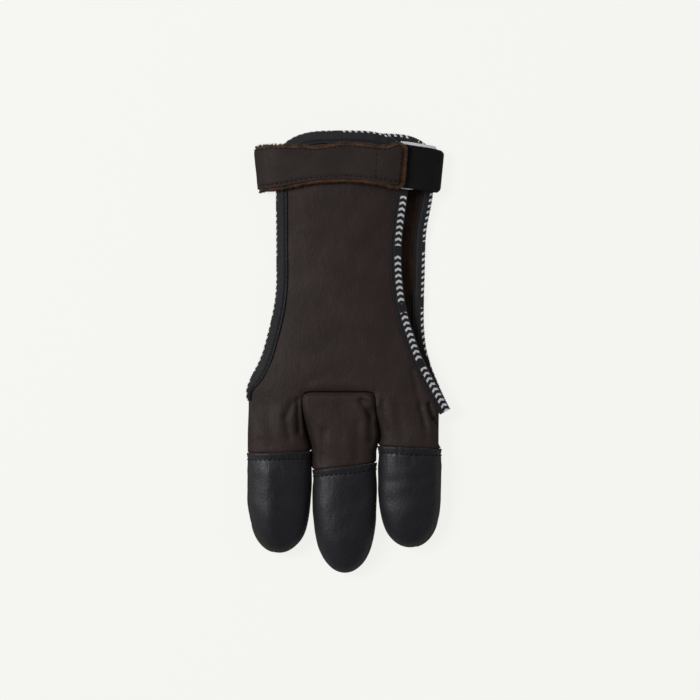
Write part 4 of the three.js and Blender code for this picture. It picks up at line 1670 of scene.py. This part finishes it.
@dataclass
class Band:
    """What the strap and the elastic share: a loop round the wrist, and their edges along it."""

    run: Sequence[Place]  # x and z of its middle, as shares of reach and crown
    reach: float
    crown: float
    way: int  # the loop's way round
    steps: int  # the loop's steps
    upper: Table  # the visible run's upper edge by x
    lower: Table  # and its lower edge
    under: Place  # the lower and upper edges of the run under the palm
    turn: Place  # where the edges pass over to those, by share of the loop's length from its fold

    def __post_init__(self) -> None:
        """Draws the loop."""
        points = [(x * self.reach, z * self.crown) for x, z in self.run]
        self.loop = Loop(points, self.way, self.steps)

    def edges(self, x: float, share: float) -> Place:
        """The band's lower and upper edge.

        Args:
            x: Millimetres.
            share: Of the loop's length.

        Returns:
            The two y in millimetres.
        """
        passed = smooth(share - self.loop.fold, *self.turn)
        lower, upper = follow(self.lower, x), follow(self.upper, x)
        return mix(lower, self.under[0], passed), mix(upper, self.under[1], passed)


def face_out(bm: bmesh.types.BMesh) -> None:
    """Turns a loop's faces outwards, so that the highest of them look up.

    Args:
        bm: The loop's mesh.
    """
    bm.normal_update()
    top = max(bm.faces, key=lambda face: face.calc_center_median().z)
    if top.normal.z < 0:
        bmesh.ops.reverse_faces(bm, faces=bm.faces)


@dataclass
class WristStrap(Band):
    """Two leathers sewn together: grain leather over a napped one whose raw edges show all round."""

    run: Sequence[Place] = (
        (0.67, 0.885), (0.56, 0.93), (0.44, 0.97), (0.3, 0.965), (0.05, 0.925), (-0.2, 0.91),
        (-0.45, 0.865), (-0.68, 0.8), (-0.79, 0.745), (-0.88, 0.65), (-0.95, 0.49), (-0.98, 0.32),
        (-0.95, 0.16), (-0.88, 0.08), (-0.8, 0.06), (-0.4, 0.06), (0.0, 0.06), (0.42, 0.06),
    )
    reach: float = 46.3
    crown: float = 17.3
    way: int = -1
    steps: int = 220
    upper: Table = (
        (-46.7, 126.6), (-39.0, 127.4), (-30.8, 127.3), (-20.0, 126.8), (-12.8, 126.5),
        (-7.5, 127.3), (-3.5, 128.3), (0.1, 128.4), (8.0, 127.7), (15.0, 127.0), (20.6, 126.5),
        (24.2, 127.7), (27.3, 128.5), (31.2, 128.1),
    )
    lower: Table = (
        (-44.6, 103.9), (-35.9, 104.4), (-29.0, 105.6), (-23.1, 106.8), (-12.0, 108.2), (-2.5, 108.7),
        (8.0, 108.3), (18.1, 107.0), (25.0, 105.6), (31.2, 104.9),
    )
    under: Place = (104.6, 127.0)
    turn: Place = (-0.02, 0.09)
    columns: int = 44
    rows: int = 230
    width: float = 22.0
    shrink: float = 1.15  # how far the grain leather's edges stay inside the lining's
    rough: Place = (0.12, 0.34)  # fine unevenness of the grain leather's edges and the lining's
    ragged: float = 0.45  # the same of the lining's free end
    stitch: Stitch = Stitch(1.7, 2.6, 0.34)
    inner_stitch: Stitch = Stitch(1.5, 2.7, 0.24)
    inset: float = 2.9  # from the lower edge to the stitches
    upper_inset: float = 1.7
    lift: float = 1.12  # of the stitches over the loop's line
    fibres: int = 2200

    def place(self, across: float, share: float, out: float, shrink: float = 0.0) -> Vector:
        """A place on the strap.

        Args:
            across: 0 at its lower edge, 1 at its upper one.
            share: Of the loop's length, from the free end.
            out: Distance from the middle of the leather, outwards.
            shrink: How far the piece's edges are drawn in.

        Returns:
            The place in metres.
        """
        share = mix(1.7 * shrink / self.loop.length, 1.0, share)
        point, normal = self.loop.at(share)
        gone = share * self.loop.length
        ragged = 0.0
        if not shrink:
            ragged = self.ragged * (1 - smooth(share, 0, 0.02))
            ragged *= uneven(0, across * self.width, 1.3, 3.0)
        low, high = self.edges(point.x, share)
        wave = 0.3 * uneven(point.x, share * 9, 5, 1.0 + across)
        wave += self.rough[0 if shrink else 1] * uneven(point.x, share * 9, 1.5, across)
        low, high = low + shrink + wave, high - shrink + wave
        y = mix(low, high, across)
        w = 2 * across - 1
        corner = 2.2 * (max(abs(w) - 0.72, 0.0) / 0.28) ** 2 * (1 - smooth(gone, 0, 7))
        slant = 0.9 * w * (1 - smooth(gone, 0, 26)) - w * smooth(-point.x, 18, 46)
        seam = dip(y - low - self.inset + shrink, 0.7) + dip(high - y - self.upper_inset + shrink, 0.7)
        height = out - 0.32 * seam * smooth(point.y, 2.5, 6)
        height += 0.2 * uneven(point.x, y, 9, 6.0) * smooth(point.y, 2.5, 6)
        x = point.x + normal.x * height + slant - corner + ragged
        z = point.y + normal.y * height
        return here(x, y, max(z, 0.0))

    def make(self) -> None:
        """Builds the two leathers, their seams and the fibres of their raw edges."""
        grain = (Finish.STRAP, Finish.RAW_EDGE)
        for name, out, shrink, wall, finish, replaced in (
            ("strap_leather", 1.05, self.shrink, 0.95, grain, ("wrist_strap",)),
            ("strap_lining", 0.1, 0.0, 1.0, (Finish.RAW_EDGE,), ()),
        ):
            bm = bmesh.new()
            lay(
                bm,
                self.columns,
                self.rows,
                lambda across, share, out=out, shrink=shrink: self.place(across, share, out, shrink),
                lambda across, share: (across * self.width, share * self.loop.length),
            )
            face_out(bm)
            inside = len(finish) - 1
            dress(bm, name, finish, replaced, wall, inside, inside)
        self.sew()
        self.fray()

    def sew(self) -> None:
        """Sews round the strap's visible run: along both edges, and across its free end."""
        seam = bmesh.new()
        fold = self.loop.fold
        near, far = self.inset / self.width, 1 - self.upper_inset / self.width
        end = self.inset / self.loop.length
        rise, run = 0.045, 0.012  # shares across and along that the rounded corner takes
        line = [self.place(near, mix(fold, end + run, i / 260), self.lift) for i in range(261)]
        for angle in (math.pi / 2 * i / 12 for i in range(1, 13)):
            across = near + rise * (1 - math.cos(angle))
            line.append(self.place(across, end + run * (1 - math.sin(angle)), self.lift))
        line += [self.place(mix(near + rise, far, i / 60), end, self.lift) for i in range(1, 61)]
        line += [self.place(far, mix(end, fold, i / 260), self.lift) for i in range(1, 261)]
        inner = [self.place(mix(near, far, i / 60), end + 0.083, 1.08) for i in range(61)]
        count = self.stitch.sew(seam, line, lambda i: Vector((0, 0, 1)))
        count += self.inner_stitch.sew(seam, inner, lambda i: Vector((0, 0, 1)))
        dress(seam, "strap_stitches", (Finish.THREAD,))
        log.info("strap: %d stitches", count)

    def fray(self) -> None:
        """Sets short fibres along the raw edges of the visible run."""
        chance = random.Random(7)
        bm = bmesh.new()
        fold = self.loop.fold
        for _ in range(self.fibres):
            if chance.random() < 0.8:
                across = chance.choice((0.0, 0.0, 1.0))
                share = chance.uniform(0.0, fold)
                way = -1.0 if across == 0 else 1.0
                away = Vector((chance.uniform(-0.9, 0.9), way, chance.uniform(-0.4, 0.8)))
            else:
                across, share = chance.uniform(0.05, 0.95), 0.0
                away = Vector((1.0, chance.uniform(-0.9, 0.9), chance.uniform(-0.4, 0.8)))
            root = self.place(across, share, chance.uniform(-0.7, 0.3))
            length = chance.uniform(0.6, 1.5) * MM
            turn = away.to_track_quat("Z", "Y").to_matrix().to_4x4()
            at = Matrix.Translation(root + away.normalized() * length * 0.3)
            thick = {"radius1": 0.17 * MM, "radius2": 0.05 * MM, "depth": length}
            bmesh.ops.create_cone(bm, cap_ends=True, segments=3, matrix=at @ turn, **thick)
        dress(bm, "strap_fibres", (Finish.RAW_EDGE,))


@dataclass
class ElasticBand(Band):
    """Knitted elastic from under the strap's free end round to the palm, with a ribbon inside it."""

    run: Sequence[Place] = (
        (0.43, 0.952), (0.53, 0.915), (0.7, 0.825), (0.8, 0.735), (0.89, 0.61), (0.965, 0.43),
        (0.985, 0.28), (0.96, 0.14), (0.91, 0.06), (0.84, 0.0475), (0.62, 0.0475), (0.41, 0.0475),
    )
    reach: float = 50.6
    crown: float = 14.8
    way: int = 1
    steps: int = 150
    upper: Table = ((20.0, 128.2), (31.5, 127.6), (40.0, 126.6), (47.0, 125.7), (51.5, 124.9))
    lower: Table = ((20.0, 106.6), (31.5, 105.3), (40.0, 104.2), (47.0, 103.6), (51.5, 103.6))
    under: Place = (104.3, 126.6)
    turn: Place = (0.0, 0.15)
    columns: int = 30
    rows: int = 130
    thickness: float = 1.4
    ribbon: Place = (0.12, 0.44)  # where the ribbon begins and ends on the loop
    ribbon_over: Place = (-0.3, 1.7)  # how far its lower and upper edges are outside the elastic's
    ribbon_thickness: float = 0.4

    def place(
        self, across: float, share: float, out: float, over: Place = (0.0, 0.0), corner: float = 0.0
    ) -> Vector:
        """A place on the band.

        Args:
            across: 0 at its lower edge, 1 at its upper one.
            share: Of the loop's length.
            out: Distance from its middle, outwards.
            over: How far the lower and upper edges are moved out.
            corner: How much further the lower edge is out next to the strap.

        Returns:
            The place in metres.
        """
        point, normal = self.loop.at(share)
        low, high = self.edges(point.x, share)
        low -= over[0] + corner * (1 - smooth(point.x, 32, 38))
        y = mix(low, high + over[1], across)
        w = 2 * across - 1
        near_fold = smooth(point.x, 44, 50.5)
        rounding = 1.5 * (max(abs(w) - 0.8, 0.0) / 0.2) ** 2 * near_fold
        x = point.x + normal.x * out + near_fold * (1.1 * w + 0.2) - rounding
        z = point.y + normal.y * out
        return here(x, y, max(z, 0.0))

    def make(self) -> None:
        """Builds the elastic and the plain ribbon inside it."""
        bm = bmesh.new()
        lay(
            bm,
            self.columns,
            self.rows,
            lambda across, share: self.place(across, share, self.thickness / 2),
            lambda across, share: (across * 22, share * self.loop.length),
        )
        face_out(bm)
        dress(bm, "elastic", (Finish.ELASTIC,), ("elastic_band",), self.thickness)

        def on_ribbon(across: float, share: float) -> Vector:
            """A place on the ribbon."""
            return self.place(across, mix(*self.ribbon, share), -0.85, self.ribbon_over, 0.9)

        bm = bmesh.new()
        lay(bm, 20, 50, on_ribbon, lambda across, share: (across * 24, share * 20))
        face_out(bm)
        dress(bm, "label_ribbon", (Finish.LABEL,), ("label",), self.ribbon_thickness)


# ---------------------------------------------------------------- studio


@dataclass(frozen=True)
class SoftBox:
    """A square soft light aimed at the glove."""

    azimuth: float  # degrees
    elevation: float  # degrees
    distance: float  # metres
    side: float  # metres
    power: float  # watts

    def hang(self, name: str) -> None:
        """Hangs the light.

        Args:
            name: Its name.
        """
        lamp = bpy.data.lights.new(name, "AREA")
        lamp.shape = "SQUARE"
        lamp.size = self.side
        lamp.energy = self.power
        a, e = math.radians(self.azimuth), math.radians(self.elevation)
        way = Vector((math.cos(a) * math.cos(e), math.sin(a) * math.cos(e), math.sin(e)))
        at = way * self.distance
        light = bpy.data.objects.new(name, lamp)
        light.location = at
        light.rotation_euler = (-at).to_track_quat("-Z", "Y").to_euler()
        bpy.context.collection.objects.link(light)


@dataclass
class Studio:
    """The pale floor, the soft light and the camera above."""

    camera_at: Spot = (0.0013, 0.0012, 1.05)
    lens: float = 103.4
    floor_half: float = 3.0
    ambient: float = 0.13
    lights: tuple[SoftBox, ...] = (
        SoftBox(161, 45, 1.5, 0.65, 17.8),
        SoftBox(40, 40, 1.7, 0.8, 4.5),
        SoftBox(-125, 36, 1.7, 0.9, 1.0),
        SoftBox(-45, 36, 1.7, 0.9, 0.7),
    )

    def set_camera(self) -> None:
        """Sets the camera straight above, as in the photograph."""
        camera = bpy.data.cameras.new("camera")
        camera.lens = self.lens
        camera.sensor_width = 36.0
        camera.clip_end = 10.0
        seen = bpy.data.objects.new("camera", camera)
        seen.location = self.camera_at
        bpy.context.collection.objects.link(seen)
        bpy.context.scene.camera = seen

    def light_up(self) -> None:
        """Lays the floor, hangs the lights and sets the plain view transform."""
        bm = bmesh.new()
        bmesh.ops.create_grid(bm, x_segments=2, y_segments=2, size=self.floor_half)
        bmesh.ops.translate(bm, verts=bm.verts, vec=(0, 0, -0.05 * MM))
        mesh = bpy.data.meshes.new("floor")
        bm.to_mesh(mesh)
        bm.free()
        mesh.materials.append(Finish.PAPER.material())
        floor = bpy.data.objects.new("floor", mesh)
        bpy.context.collection.objects.link(floor)
        for i, light in enumerate(self.lights):
            light.hang(f"softbox_{i + 1}")
        world = bpy.data.worlds.new("studio")
        world.use_nodes = True
        world.node_tree.nodes.clear()
        nodes = Nodes(world.node_tree)
        sky = nodes.add("Background", {"Color": (1.0, 1.0, 0.99, 1.0), "Strength": self.ambient})
        nodes.add("OutputWorld", {"Surface": sky})
        bpy.context.scene.world = world
        bpy.context.scene.view_settings.view_transform = "Standard"
        bpy.context.scene.view_settings.look = "None"


def main() -> None:
    """Loads the frame, builds the glove piece by piece and reports each."""
    logging.basicConfig(level=logging.INFO, format="%(name)s: %(message)s")
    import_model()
    studio = Studio()
    studio.set_camera()
    studio.light_up()
    BackPanel().make()
    MiddleInsert().make()
    PalmPanel().make()
    FingerCap(RING, folds=RING_CAP_FOLDS, lip=(37.0, 51.6)).make()
    FingerCap(MIDDLE, folds=MIDDLE_CAP_FOLDS).make()
    FingerCap(INDEX, folds=INDEX_CAP_FOLDS, lip=(-37.0, -51.4), gathers=0.4).make()
    EdgeBinding(BACK, "back_binding").make()
    EdgeBinding(PALM, "palm_binding").make()
    WristStrap().make()
    ElasticBand().make()


if __name__ == "__main__":
    main()
